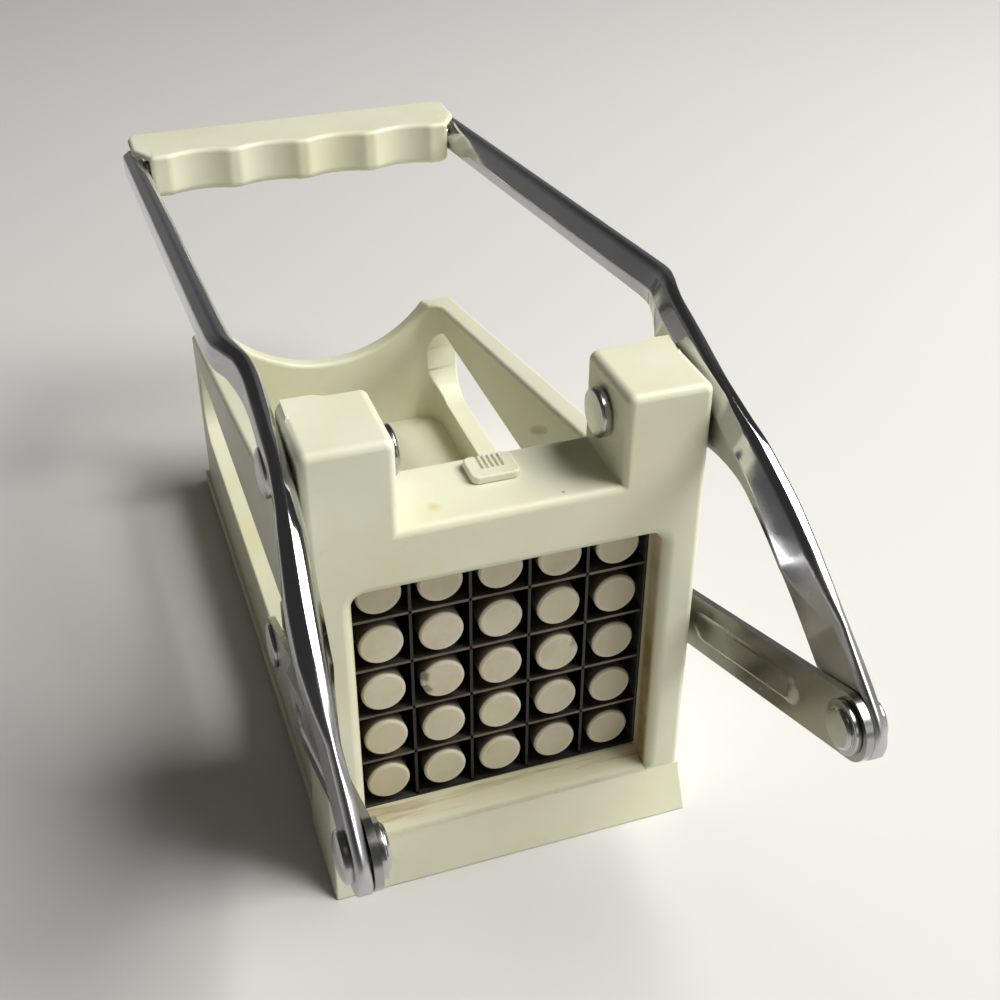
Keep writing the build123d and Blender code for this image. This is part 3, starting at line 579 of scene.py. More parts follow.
def rounded_line(points, radius, steps=4):
    """An open line of points with its inner corners rounded."""
    line = [Vector(point) for point in points]
    result = [line[0]]
    for before, corner, after in zip(line, line[1:], line[2:]):
        back, forth = before - corner, after - corner
        reach = min(radius, back.length * LINE_SHARE, forth.length * LINE_SHARE)
        start, end = corner + back.normalized() * reach, corner + forth.normalized() * reach
        result += bend(start, corner, end, steps)
    result.append(line[-1])
    return result


def lathe(name, points, radius, around=56):
    """A turned part along X from (x, radius) points in millimetres, ends on the axis."""
    shape = bmesh.new()
    turns = [2 * pi * step / around for step in range(around)]
    rings = []
    for along, away in rounded_line(points, radius):
        places = [(along, away * cos(turn), away * sin(turn)) for turn in turns]
        ring = places if away > TINY else places[:1]
        rings.append([shape.verts.new(Vector(place) * MM) for place in ring])
    tube(shape, rings)
    return new_object(name, mesh_from(name, shape, TURNED_SHARP))


def dome(end, rise, radius, steps=5):
    """Points of a domed head from its rim to the axis."""
    turns = [pi / 2 * step / steps for step in range(steps + 1)]
    return [(end - rise + rise * sin(turn), radius * cos(turn)) for turn in turns]


def mark(piece, name, grade):
    """Stores a number on each vertex of a piece, graded by its place in millimetres."""
    layer = piece.data.attributes.new(name, "FLOAT", "POINT")
    layer.data.foreach_set("value", [grade(vertex.co / MM) for vertex in piece.data.vertices])


def grown(name, tree, values, mesh=None):
    """A piece grown by a tree from the mesh, with the inputs set by their identifiers."""
    piece = new_object(name, mesh or bpy.data.meshes.new(name))
    modifier = piece.modifiers.new("grow", "NODES")
    modifier.node_group = tree
    for item in tree.interface.items_tree:
        if item.in_out == "INPUT" and item.name in values:
            modifier[item.identifier] = values[item.name]
    return baked(piece)


# Operators, one for each piece or group of like pieces


class Dressing:
    """Shared by the operators: each builds its pieces from the sizes and colours of the scene."""

    bl_options = {"REGISTER", "UNDO"}

    def execute(self, context):
        self.build(context.scene.chipper_sizes, context.scene.chipper_colours)
        return {"FINISHED"}


class CHIPPER_OT_materials(Dressing, bpy.types.Operator):
    """Makes the materials of all the pieces"""

    bl_idname = "chipper.materials"
    bl_label = "Materials"

    def build(self, sizes, hues):
        cream_plastic(hues)
        peg_plastic(hues)
        cassette_plastic(hues)
        plated_metal("chrome", hues.chrome, smooth=0.05, rough=0.15, wave=0.10, streak=0.03, dulled=0.22)
        plated_metal("link_steel", hues.link, smooth=0.18, rough=0.30, wave=0.02, streak=0.02)
        plated_metal("rivet_steel", hues.rivet, smooth=0.14, rough=0.30, wave=0.10, streak=0.05)
        blade_steel(hues)
        floor_shade(hues)


# Heights just under and over the start of the flared foot, where its corners stay sharp
FLARE_BAND = (10.0 * MM, 12.0 * MM)

# Height of the fold where the foot flares out, and the least angle of a crease there
FOOT_TOP = 11.0 * MM
FOLD = radians(8)

# Where the rear wall's rounded rim starts
REAR_RIM = 138.0 * MM

# Just over the slots, and just inside where they cut into the rounded rear corners
SLOT_TOP = 44.0 * MM
SLOT_ROOT = 28.0 * MM

# Inner ends of the slots, where they run into the rounded rear corners
SLOT_END = 150.9 * MM
SLOT_INSIDE = 31.2 * MM

# Middle of the round mark inside the right wall, how far it reaches, and its least depth
MARK_MIDDLE = Vector((31.0, 70.2, 54.6)) * MM
MARK_REACH = 6.0 * MM
MARK_FLOOR = 0.1 * MM

# The long shallow dent in its place: its middle, its half lengths in the wall's plane, the radius across
# the wall of the ellipsoid that cuts it, and how far that ellipsoid's middle stands off
DENT_MIDDLE = Vector((31.0, 69.6, 55.3)) * MM
DENT_LONG = Vector((0.0, 7.4, -4.3)) * MM
DENT_SHORT = Vector((0.0, 0.0, 1.4)) * MM
DENT_ROUND = 1.5 * MM
DENT_RETREAT = 1.1 * MM

# Top of the towers, then the front and the inner side of the low pads at their rear corners, and how far
# that side runs out
TOWER_TOP = 104.2 * MM
PAD_FRONT = 13.0 * MM
PAD_SIDE = 31.5 * MM
PAD_EASE = 3.0 * MM

# Just outside the window's opening, the start of its rounded upper corners, and how far its top dips
# towards the front
WINDOW_HALF = 30.4 * MM
WINDOW_TOP = 74.1 * MM
WINDOW_CORNER = 71.4 * MM
WINDOW_DIP = 1.3 * MM


def clear_of_flare(edge):
    """True for edges that are rounded: not where the foot starts to flare, nor on the towers' pads,
    the rear rim or the inner ends of the slots."""
    heights = [vertex.co.z for vertex in edge.verts]
    lowest, highest = min(heights), max(heights)
    nearest = min(vertex.co.y for vertex in edge.verts)
    widest = max(abs(vertex.co.x) for vertex in edge.verts)
    if highest > TOWER_TOP - CLOSE and nearest > PAD_FRONT:
        return False
    on_rim = nearest > REAR_RIM and (highest > SLOT_TOP or widest < SLOT_ROOT)
    if on_rim or (nearest > SLOT_END and widest < SLOT_INSIDE):
        return lowest < FLARE_BAND[0]
    return lowest < FLARE_BAND[0] - CLOSE or highest > FLARE_BAND[1] + CLOSE


def on_window(place, lowest):
    """True for a place on the front outline of the window, above the lowest height."""
    return abs(place.y) < CLOSE and abs(place.x) < WINDOW_HALF and lowest < place.z < WINDOW_TOP


def round_window(edge):
    """True for the front edges of the window above the sill."""
    return all(on_window(vertex.co, FLARE_BAND[1] - CLOSE) for vertex in edge.verts)


def dip_window(shape):
    """Lowers the front edge of the window's top."""
    for vertex in shape.verts:
        if on_window(vertex.co, WINDOW_CORNER):
            vertex.co.z -= WINDOW_DIP


def crease_foot(shape):
    """Keeps the fold crisp where the foot flares out."""
    for edge in shape.edges:
        if all(abs(vertex.co.z - FOOT_TOP) < CLOSE for vertex in edge.verts):
            edge.smooth = edge.calc_face_angle(0.0) < FOLD


def ease_pads(shape):
    """Runs the inner sides of the towers' low pads out gently into the tower tops."""
    for vertex in shape.verts:
        x, y, z = vertex.co
        if abs(z - TOWER_TOP) < CLOSE and y > PAD_FRONT and abs(abs(x) - PAD_SIDE) < 10 * CLOSE:
            vertex.co.x = copysign(PAD_SIDE - PAD_EASE, x)


def fill_mark(shape):
    """Closes the round mark inside the wall, to make way for the long dent of the real one."""
    floor = [
        vertex
        for vertex in shape.verts
        if (vertex.co - MARK_MIDDLE).length < MARK_REACH
        and MARK_FLOOR < vertex.co.x - MARK_MIDDLE.x < 10 * MARK_FLOOR
    ]
    bmesh.ops.delete(shape, geom=floor, context="VERTS")
    fill(shape)
    merge_flat(shape)


def dent_tool():
    """An ellipsoid whose cap cuts the long dent inside the right wall."""
    shape = bmesh.new()
    bmesh.ops.create_uvsphere(shape, u_segments=64, v_segments=32, radius=1.0)
    spread = 1 / sqrt(1 - (DENT_RETREAT / DENT_ROUND) ** 2)
    for vertex in shape.verts:
        deep, along, across = vertex.co
        inward = Vector((DENT_ROUND * deep - DENT_RETREAT, 0.0, 0.0))
        vertex.co = DENT_MIDDLE + inward + (DENT_LONG * along + DENT_SHORT * across) * spread
    return new_object("dent_tool", mesh_from("dent_tool", shape))


class CHIPPER_OT_housing(Dressing, bpy.types.Operator):
    """Builds the cream housing and the blade frame behind its window"""

    bl_idname = "chipper.housing"
    bl_label = "Housing"

    def build(self, sizes, hues):
        shape = joined_solid("housing")
        fill_mark(shape)
        for level in FLARE_BAND:
            cut(shape, 2, level)
        dip_window(shape)
        ease_pads(shape)
        softened(shape, sizes.window_edge, round_window)
        softened(shape, sizes.edge, clear_of_flare)
        crease_foot(shape)
        tool = dent_tool()
        housing = moulding("housing_moulding", shape, tool)
        drop(tool)
        dress(housing, "cream_plastic")
        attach(housing, "frame")
        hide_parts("housing")
        shape = joined_solid("blade_frame")
        softened(shape, sizes.small_edge)
        cassette = moulding("cassette_moulding", shape)
        dress(cassette, "cassette_plastic")
        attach(cassette, "frame")
        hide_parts("blade_frame")


# Where a blade's ground edge starts, as a part of its depth from the middle, and how much thinner it is
GROUND_START = 0.45
GROUND_LOSS = 0.8


def blade_tree():
    """Sets upright blades side by side, thins their rear edges and crosses them with lying blades."""
    grow = Growth(
        "blade_grid", Count="Int", Pitch="Float", Size="Vector", Centre="Vector", Finish="Material"
    )
    given = grow.given
    corners = {"Vertices X": 2, "Vertices Y": 6, "Vertices Z": 2}
    strip = grow.first("GeometryNodeMeshCube", {"Size": given["Size"], **corners})
    x, y, _ = grow.axes(grow.first("GeometryNodeInputPosition"))
    start = grow.maths("MULTIPLY", grow.axes(given["Size"])[1], GROUND_START)
    ground = {
        "Geometry": strip,
        "Selection": grow.compare("GREATER_THAN", y, start),
        "Offset": grow.vector(x=grow.maths("MULTIPLY", x, -GROUND_LOSS)),
    }
    blade = grow.first("GeometryNodeSetPosition", ground)
    spaces = grow.maths("SUBTRACT", given["Count"], 1.0)
    line = {
        "Count": given["Count"],
        "Start Location": grow.vector(x=grow.product(spaces, given["Pitch"], -0.5)),
        "Offset": grow.vector(x=given["Pitch"]),
    }
    upright = grow.real(grow.copies(grow.first("GeometryNodeMeshLine", line), blade))
    crossing = grow.moved(upright, Rotation=(0.0, radians(90), 0.0))
    both = grow.join(upright, grow.store(crossing, "lying", 1.0))
    return grow.end(grow.moved(both, Translation=given["Centre"]))


class CHIPPER_OT_blades(Dressing, bpy.types.Operator):
    """Builds the crossing steel blades"""

    bl_idname = "chipper.blades"
    bl_label = "Blades"

    def build(self, sizes, hues):
        names = [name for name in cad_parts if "blade" in name and name[-1].isdigit()]
        upright = [name for name in names if name.startswith("vertical")]
        low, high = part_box(upright[0])
        middle = (low + high) / 2
        values = {
            "Count": len(upright),
            "Pitch": sizes.peg_pitch,
            "Size": tuple(high - low),
            "Centre": (0.0, middle.y, middle.z),
            "Finish": finish("blade_steel"),
        }
        blades = grown("blade_crate", blade_tree(), values)
        dress(blades, "blade_steel")
        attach(blades, "frame")
        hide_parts(*names)


# Front of the pusher plate, the depth of peg left on it, and the chipped places:
# column and row from the middle peg, and the angle on the rim
PLATE_FRONT = 21.5 * MM
PEG_ROOT = 0.1 * MM
CHIPPED = ((-1, 0, 160), (-1, 0, 205), (1, 0, 22))

# Distances from a chipped place over which a chip runs out, and how ragged its outline is
CHIP_RUN = (1.4 * MM, 0.6 * MM)
CHIP_RAGGED = 0.4 * MM

# A peg in millimetres: its foot inside the plate, the rows of its side below its top, the rings of its top
# inside its rim, the radius of the innermost ring, and the rounding of its corners
PEG_FOOT = 1.0
PEG_ROWS = (2.4, 1.6, 0.9, 0.4)
PEG_RINGS = (0.4, 1.0, 1.6)
PEG_MIDDLE = 2.0
PEG_ROUNDING = 0.06

# How far below a peg's top the painted shade on its side starts and is full, and how wide and deep its
# paler rim is
SIDE_SHADE_START = 0.3
SIDE_SHADE_RUN = 0.6
RIM_WIDTH = 0.6
RIM_DEPTH = 0.5


def peg_tree():
    """Sets pegs in a square on the plate and wears their rims near the given points."""
    grow = Growth(
        "peg_square",
        Peg="Object",
        Plate="Object",
        Count="Int",
        Pitch="Float",
        Centre="Vector",
        Chip="Float",
        Finish="Material",
    )
    given = grow.given
    count = given["Count"]
    side = grow.product(grow.maths("SUBTRACT", count, 1.0), given["Pitch"])
    square = {"Size X": side, "Size Y": side, "Vertices X": count, "Vertices Y": count}
    flat = grow.put("GeometryNodeMeshGrid", square).outputs["Mesh"]
    upright = grow.moved(flat, Translation=given["Centre"], Rotation=(radians(90), 0.0, 0.0))
    points = grow.first("GeometryNodeMeshToPoints", {0: upright})
    pegs = grow.copies(points, grow.part("Peg"), (0.0, 0.0, radians(-90)))
    age = grow.put("FunctionNodeRandomValue", {"Seed": 7}, data_type="FLOAT").outputs["Value"]
    real = grow.real(grow.store(pegs, "age", age, "INSTANCE"))
    gap = grow.put("GeometryNodeProximity", {0: given["Geometry"]}, target_element="POINTS")
    ragged = grow.put("ShaderNodeTexNoise", {"Scale": 900.0, "Detail": 2.0}).outputs["Fac"]
    rough = grow.span(ragged, 0.3, 0.7, -CHIP_RAGGED, CHIP_RAGGED)
    torn = grow.maths("ADD", gap.outputs["Distance"], rough)
    marked = grow.store(real, "chip", grow.span(torn, *CHIP_RUN))
    kept = grow.put("GeometryNodeInputNamedAttribute", {"Name": "chip"}, data_type="FLOAT")
    push = grow.vector(y=grow.product(kept.outputs["Attribute"], given["Chip"]))
    worn = grow.first("GeometryNodeSetPosition", {"Geometry": marked, "Offset": push})
    return grow.end(grow.join(grow.part("Plate"), worn))


class CHIPPER_OT_pusher(Dressing, bpy.types.Operator):
    """Builds the pusher plate and its pegs"""

    bl_idname = "chipper.pusher"
    bl_label = "Pusher"

    def build(self, sizes, hues):
        low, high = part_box("pusher")
        root = PLATE_FRONT - PEG_ROOT
        shape = joined_solid("pusher")
        cut(shape, 1, root, clear=True)
        fill(shape)
        plate = moulding("pusher_plate", shape)
        top = (root - low.y) / MM
        radius = sizes.peg_radius / MM
        outline = [(-PEG_FOOT, 0.0), (-PEG_FOOT, radius)]
        outline += [(top - below, radius) for below in PEG_ROWS]
        outline += [(top, radius - inside) for inside in PEG_RINGS]
        outline += [(top, PEG_MIDDLE), (top, 0.0)]
        peg = lathe("peg_part", outline, PEG_ROUNDING)
        # The part of each peg's side that takes the painted shade
        mark(peg, "soil", lambda place: held((top - SIDE_SHADE_START - place.x) / SIDE_SHADE_RUN))
        # The paler band round the edge of each peg's top
        mark(
            peg,
            "rim",
            lambda place: float(place.yz.length > radius - RIM_WIDTH and place.x > top - RIM_DEPTH),
        )
        middle = (low.z + high.z) / 2
        chips = []
        for column, row, angle in CHIPPED:
            x = column * sizes.peg_pitch + cos(radians(angle)) * sizes.peg_radius
            z = middle + row * sizes.peg_pitch + sin(radians(angle)) * sizes.peg_radius
            chips.append((x, low.y, z))
        spots = bpy.data.meshes.new("chip_spots")
        spots.from_pydata(chips, [], [])
        values = {
            "Peg": peg,
            "Plate": plate,
            "Count": sizes.peg_count,
            "Pitch": sizes.peg_pitch,
            "Centre": (0.0, root, middle),
            "Chip": sizes.peg_chip,
            "Finish": finish("peg_plastic"),
        }
        pusher = grown("pusher_block", peg_tree(), values, spots)
        drop(peg)
        drop(plate)
        dress(pusher, "peg_plastic")
        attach(pusher, "pusher")
        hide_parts("pusher")


class CHIPPER_OT_latch(Dressing, bpy.types.Operator):
    """Builds the ribbed blade latch"""

    bl_idname = "chipper.latch"
    bl_label = "Blade latch"

    def build(self, sizes, hues):
        shape = joined_solid("blade_latch")
        softened(shape, sizes.small_edge)
        latch = moulding("latch_moulding", shape)
        dress(latch, "cream_plastic")
        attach(latch, "latch")
        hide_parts("blade_latch")


# Half width of the grip's bar, its front corner rounding and how square that rounding is
GRIP_HALF = 40.3 * MM
GRIP_CORNER = 3.0 * MM
GRIP_SQUARE = 7

# The web between the grip's lip and its front corner: depth, distance below the top, rounding, and its
# corners as x and as distance from the front in millimetres
LIP_DEPTH = 1.3 * MM
LIP_INSET = 0.04 * MM
LIP_ROUNDING = 1.0 * MM
LIP_WEB = ((38.6, 1.0), (40.25, 0.9), (43.7, 6.8), (43.7, 9.5), (38.6, 9.5))


def square_ends(shape, front):
    """Squares the front corners of the grip."""
    side, start = GRIP_HALF - GRIP_CORNER, front + GRIP_CORNER
    for vertex in shape.verts:
        x, y = vertex.co.xy
        out, ahead = abs(x) - side, start - y
        if out > TINY and ahead > TINY:
            reach = hypot(out, ahead)
            grow = ((out / reach) ** GRIP_SQUARE + (ahead / reach) ** GRIP_SQUARE) ** (-1 / GRIP_SQUARE)
            vertex.co.x = copysign(side + out * grow, x)
            vertex.co.y = start - ahead * grow


def add_lip_webs(shape, front, top):
    """Fills the corner between the grip's lip and its front on both sides."""
    levels = (top - LIP_INSET - LIP_DEPTH, top - LIP_INSET)
    for name, sign in SIDES:
        web = bmesh.new()
        rings = [
            [web.verts.new((sign * x * MM, front + y * MM, level)) for x, y in LIP_WEB] for level in levels
        ]
        rim = tube(web, rings)[-1].edges[:]
        bmesh.ops.bevel(web, geom=rim, offset=LIP_ROUNDING, segments=4, profile=0.5, affect="EDGES")
        part = bpy.data.meshes.new(name + "_lip_web")
        web.to_mesh(part)
        web.free()
        shape.from_mesh(part)
        bpy.data.meshes.remove(part)


class CHIPPER_OT_grip(Dressing, bpy.types.Operator):
    """Builds the waved grip"""

    bl_idname = "chipper.grip"
    bl_label = "Grip"

    def build(self, sizes, hues):
        shape = joined_solid("grip")
        low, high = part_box("grip")
        square_ends(shape, low.y)
        add_lip_webs(shape, low.y, high.z)
        grip = moulding("grip_moulding", shape)
        dress(grip, "cream_plastic")
        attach(grip, "levers")
        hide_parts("grip")


# Runs of sections along a lever from the handle end to the crank end, in millimetres. Each section is
# upper edge y and z, lower edge y and z, then x of the inner face, the bead and the web, then
# how far up the inner face, the bead's shoulder and the bead's foot come, from 0 at the lower edge to 1
ARM_RUN = (
    (182.2, 90.2, 182.0, 87.8, 41.8, 44.9, 44.9, 0.45, 0.58, 0.40),
    (181.5, 91.6, 181.1, 86.6, 41.0, 45.6, 45.6, 0.43, 0.58, 0.40),
    (179.5, 92.4, 178.9, 86.0, 40.6, 45.9, 45.9, 0.42, 0.60, 0.40),
    (176.4, 92.9, 175.6, 86.3, 40.5, 46.0, 46.0, 0.40, 0.60, 0.40),
    (120.4, 99.6, 119.6, 92.9, 40.5, 46.0, 46.0, 0.38, 0.60, 0.40),
    (62.4, 106.4, 61.6, 99.8, 40.5, 46.0, 46.0, 0.38, 0.60, 0.40),
    (46.4, 108.3, 45.6, 101.7, 40.5, 46.0, 46.0, 0.40, 0.60, 0.40),
    (37.4, 109.4, 36.6, 102.7, 40.3, 45.8, 45.6, 0.44, 0.62, 0.42),
    (32.4, 109.9, 32.0, 102.6, 39.6, 44.7, 44.0, 0.48, 0.66, 0.50),
    (27.6, 110.0, 28.4, 100.4, 38.8, 43.3, 42.4, 0.54, 0.72, 0.56),
    (22.4, 109.1, 26.2, 96.0, 38.4, 42.5, 41.2, 0.64, 0.90, 0.66),
    (15.6, 107.2, 21.6, 90.6, 38.32, 42.4, 40.8, 0.73, 0.93, 0.76),
    (9.4, 105.1, 11.2, 86.7, 38.32, 42.4, 40.8, 0.76, 0.93, 0.77),
    (3.2, 102.9, 4.0, 88.9, 38.32, 42.4, 40.8, 0.70, 0.91, 0.70),
    (-4.2, 100.1, -1.7, 89.9, 38.34, 43.00, 41.00, 0.56, 0.88, 0.58),
    (-9.6, 97.9, -7.4, 89.8, 38.5, 43.80, 43.00, 0.44, 0.72, 0.50),
    (-14.8, 94.9, -11.8, 88.6, 38.8, 44.50, 44.40, 0.36, 0.66, 0.42),
    (-21.4, 90.8, -17.8, 85.4, 39.1, 45.30, 45.30, 0.24, 0.62, 0.36),
    (-28.6, 86.1, -25.2, 81.0, 39.4, 45.60, 45.60, 0.06, 0.60, 0.32),
)
RAMP_RUN = (
    ARM_RUN[-1],
    (-35.0, 82.9, -29.2, 75.8, 40.7, 45.20, 45.10, 0.45, 0.70, 0.50),
    (-41.3, 80.1, -33.4, 70.0, 42.02, 44.5, 44.5, 0.84, 0.90, 0.60),
)
PLATE_RUN = (
    RAMP_RUN[-1],
    (-47.4, 75.9, -40.6, 65.1, 42.02, 44.5, 44.5, 0.92, 0.94, 0.60),
    (-53.8, 71.2, -47.1, 60.8, 42.02, 44.5, 44.5, 0.92, 0.94, 0.60),
    (-56.0, 68.7, -50.2, 59.8, 42.02, 44.5, 44.5, 0.92, 0.94, 0.60),
    (-56.7, 65.7, -53.4, 60.5, 42.02, 44.5, 44.5, 0.90, 0.92, 0.60),
    (-56.3, 63.2, -55.4, 62.0, 42.2, 44.3, 44.3, 0.70, 0.80, 0.50),
)

# Rows of mesh for each section of the arm, and for each of the ramp and the plate at the crank end
ARM_STEPS = 8
END_STEPS = 6

# Where the two ridges of a lever's crown lie, as parts of a section's width and height. The first ridge:
# its place across, how much that shifts with the height of the inner face, and its height. The second
# ridge: its place across and its height. Last, how much higher the bead's shoulder sits. Both crowns lean
# to the right, as in the photo
RIDGES = {
    "left": (0.28, 0.22, 0.91, 0.62, 1.03, 0.20),
    "right": (0.60, 0.30, 1.02, 0.95, 0.95, 0.0),
}

# The least step from the inner face to the first ridge and from the shoulder to the second, the least part
# of the height in which the bead runs out into the web, and the rounding of a section's corners in
# millimetres, from the lower inner one over the crown
RIDGE_STEP = 0.04
WEB_STEP = 0.12
SECTION_ROUNDS = (0.5, 0.35, 1.6, 0.7, 0.6, 0.7, 0.7, 0.9)
CORNER_STEPS = 6


def lever_ring(shape, row, ridges):
    """One section of a lever: a flat inner face, a crown of two facets and a bead outside."""
    upper, lower = Vector(row[0:2]), Vector(row[2:4])
    inner, bead, web, face, shoulder, foot = row[4:]
    first, shift, rise, second, crest, lift = ridges
    tall, wide = (upper - lower).length, bead - inner
    run_out = min(foot, WEB_STEP + (bead - web) / tall)
    shoulder = max(shoulder, min(shoulder + lift, crest - 2 * RIDGE_STEP))
    outline = (
        (inner, 0.0),
        (inner, face),
        (inner + wide * (first - shift * face), max(rise, face + RIDGE_STEP)),
        (inner + wide * second, crest),
        (bead, shoulder),
        (bead, foot),
        (web, foot - run_out / 2),
        (web, 0.0),
    )
    corners = [Vector((x, high * tall)) for x, high in outline]
    ring = []
    for place, corner in enumerate(corners):
        ends = []
        for other in (corners[place - 1], corners[(place + 1) % len(corners)]):
            reach = min(SECTION_ROUNDS[place], (other - corner).length * SECTION_SHARE)
            ends.append(corner + (other - corner).normalized() * reach)
        for x, high in bend(ends[0], corner, ends[1], CORNER_STEPS):
            y, z = lower.lerp(upper, high / tall)
            ring.append(shape.verts.new(Vector((x, y, z)) * MM))
    return ring


class CHIPPER_OT_levers(Dressing, bpy.types.Operator):
    """Builds the two chromed levers"""

    bl_idname = "chipper.levers"
    bl_label = "Levers"

    def build(self, sizes, hues):
        arm = through(ARM_RUN, ARM_STEPS)
        ramp, plate = through(RAMP_RUN, END_STEPS), through(PLATE_RUN, END_STEPS)
        rows = arm + ramp[1:] + plate[1:]
        fold = len(arm) + len(ramp) - 2
        for side, sign in SIDES:
            shape = bmesh.new()
            rings = [lever_ring(shape, row, RIDGES[side]) for row in rows]
            tube(shape, rings)
            crease = rings[fold][CORNER_STEPS:CORNER_STEPS + 2]
            shape.edges.get(crease).smooth = False
            for vertex in shape.verts:
                vertex.co.x *= sign
            lever = moulding(side + "_lever_tube", shape)
            dress(lever, "chrome")
            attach(lever, "levers")
            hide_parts(side + "_lever")


# A link in millimetres: the middles of its two ends as y and z, x of its inner face at the crank, how far
# it steps in, and where along the link and over what length it does so
LINK_CRANK = Vector((-50.5, 66.0))
LINK_PUSHER = Vector((40.0, 33.0))
LINK_FACE = 40.4
JOGGLE = 2.0
JOGGLE_START = 62.0
JOGGLE_RUN = 8.0

# The pressed rib of a link: the ends of its middle line along the link, its half width, and the run of its
# sides
RIB_START = 19.8
RIB_END = 53.6
RIB_HALF = 2.8
RIB_SIDE = 0.55

# Rows along a link's mesh and columns across it, and the half width of its first and last rows
LINK_ROWS = 150
LINK_COLUMNS = 44
LINK_TIP = 0.05


def link_ring(shape, place, sizes, sign):
    """One section of a link, round its inner and outer face, at a place along it."""
    line = LINK_PUSHER - LINK_CRANK
    along = line.normalized()
    over = Vector((-along.y, along.x))
    half = sizes.link_width / MM / 2
    past = max(-place, place - line.length, 0.0)
    wide = max(sqrt(max(half**2 - past**2, 0.0)), LINK_TIP)
    face = LINK_FACE - JOGGLE * ease((place - JOGGLE_START) / JOGGLE_RUN)
    inner, outer = [], []
    for column in range(LINK_COLUMNS + 1):
        away = wide * (2 * column / LINK_COLUMNS - 1)
        y, z = LINK_CRANK + along * place + over * away
        gap = hypot(max(RIB_START - place, place - RIB_END, 0.0), away)
        x = face - ease((RIB_HALF - gap) / RIB_SIDE + 0.5) * sizes.rib_height / MM
        inner.append(shape.verts.new(Vector((sign * x, y, z)) * MM))
        outer.append(shape.verts.new(Vector((sign * (x + sizes.link_thickness / MM), y, z)) * MM))
    return inner + outer[::-1]


class CHIPPER_OT_links(Dressing, bpy.types.Operator):
    """Builds the two pressed link bars"""

    bl_idname = "chipper.links"
    bl_label = "Links"

    def build(self, sizes, hues):
        half = sizes.link_width / MM / 2
        whole = (LINK_PUSHER - LINK_CRANK).length + 2 * half
        turns = [pi * row / LINK_ROWS for row in range(LINK_ROWS + 1)]
        places = [whole * (1 - cos(turn)) / 2 - half for turn in turns]
        for side, sign in SIDES:
            shape = bmesh.new()
            tube(shape, [link_ring(shape, place, sizes, sign) for place in places])
            link = new_object(side + "_link_bar", mesh_from(side + "_link_bar", shape, PRESSED_SHARP))
            dress(link, "link_steel")
            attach(link, "links")
            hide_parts(side + "_link")


# Outlines of the turned parts of the right side from the inner end, as x and radius in millimetres
PIVOT_PIN = (
    *((18.9, 0.0), (18.9, 4.3), (19.35, 4.75), (20.6, 4.75), (20.6, 4.1)),
    *((21.1, 4.1), (21.1, 3.0), (41.0, 3.0), (41.0, 4.6)),
    *dome(43.4, 1.2, 4.6),
)
LINK_RIVET = (
    *((38.4, 0.0), (38.4, 3.3), (38.9, 3.8), (39.3, 3.8), (39.3, 4.8)),
    *((40.3, 4.8), (40.3, 2.5), (44.5, 2.5), (44.5, 4.2)),
    *dome(46.5, 1.1, 4.2),
)
PUSHER_RIVET = ((38.4, 0.0), (38.4, 2.5), (39.8, 2.5), (39.8, 4.8), *dome(41.1, 0.8, 4.8))
PUSHER_PIN = ((24.7, 0.0), (24.7, 3.0), (38.1, 3.0), (38.1, 0.0))
GRIP_PIN = ((31.4, 0.0), (31.4, 2.0), *dome(46.0, 0.7, 2.0))
RIVET_ROUNDING = 0.12


def pair_tree():
    """Sets a turned part on each point, facing out to its own side."""
    grow = Growth("side_pairs", Part="Object", Finish="Material")
    side = grow.axes(grow.first("GeometryNodeInputPosition"))[0]
    turn = grow.vector(z=grow.maths("MULTIPLY", grow.compare("LESS_THAN", side, 0.0), pi))
    points = grow.first("GeometryNodeMeshToPoints", {0: grow.given["Geometry"]})
    return grow.end(grow.real(grow.copies(points, grow.part("Part"), turn)))


def turned_pair(name, body, points):
    """Two like turned parts, one on each side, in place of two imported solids."""
    nodes = ["left_" + name, "right_" + name]
    low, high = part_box(nodes[1])
    start = points[0][0] * MM
    part = lathe(name + "_part", points, RIVET_ROUNDING)
    for vertex in part.data.vertices:
        vertex.co.x -= start
    spots = bpy.data.meshes.new(name + "_spots")
    centre = (low + high) / 2
    spots.from_pydata([(sign * start, centre.y, centre.z) for _, sign in SIDES], [], [])
    tree = bpy.data.node_groups.get("side_pairs") or pair_tree()
    piece = grown(name + "s", tree, {"Part": part, "Finish": finish("rivet_steel")}, spots)
    drop(part)
    dress(piece, "rivet_steel")
    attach(piece, body)
    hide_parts(*nodes)


class CHIPPER_OT_rivets(Dressing, bpy.types.Operator):
    """Builds the rivets and pins"""

    bl_idname = "chipper.rivets"
    bl_label = "Rivets and pins"

    def build(self, sizes, hues):
        turned_pair("pivot_pin", "frame", PIVOT_PIN)
        turned_pair("link_rivet", "levers", LINK_RIVET)
        turned_pair("pusher_rivet", "links", PUSHER_RIVET)
        turned_pair("pusher_pin", "pusher", PUSHER_PIN)
        turned_pair("grip_pin", "levers", GRIP_PIN)


# Half the side of the studio floor, and what the lamps aim at
FLOOR_HALF = 3.0
LAMP_AIM = Vector((0.0, 0.06, 0.05))

# Lamps: place, width and height, power and colour
LAMPS = {
    "key": ((0.79, -0.23, 1.06), (0.85, 0.85), 25.5, (1.0, 0.985, 0.965)),
    "front": ((0.62, -0.85, 0.42), (0.7, 0.4), 0.8, (0.98, 0.99, 1.0)),
}

# Light of the surroundings near the horizon and higher up, and the heights between which it fades
WORLD_LIGHT = (0.18, 0.045)
WORLD_FADE = (0.02, 0.40)

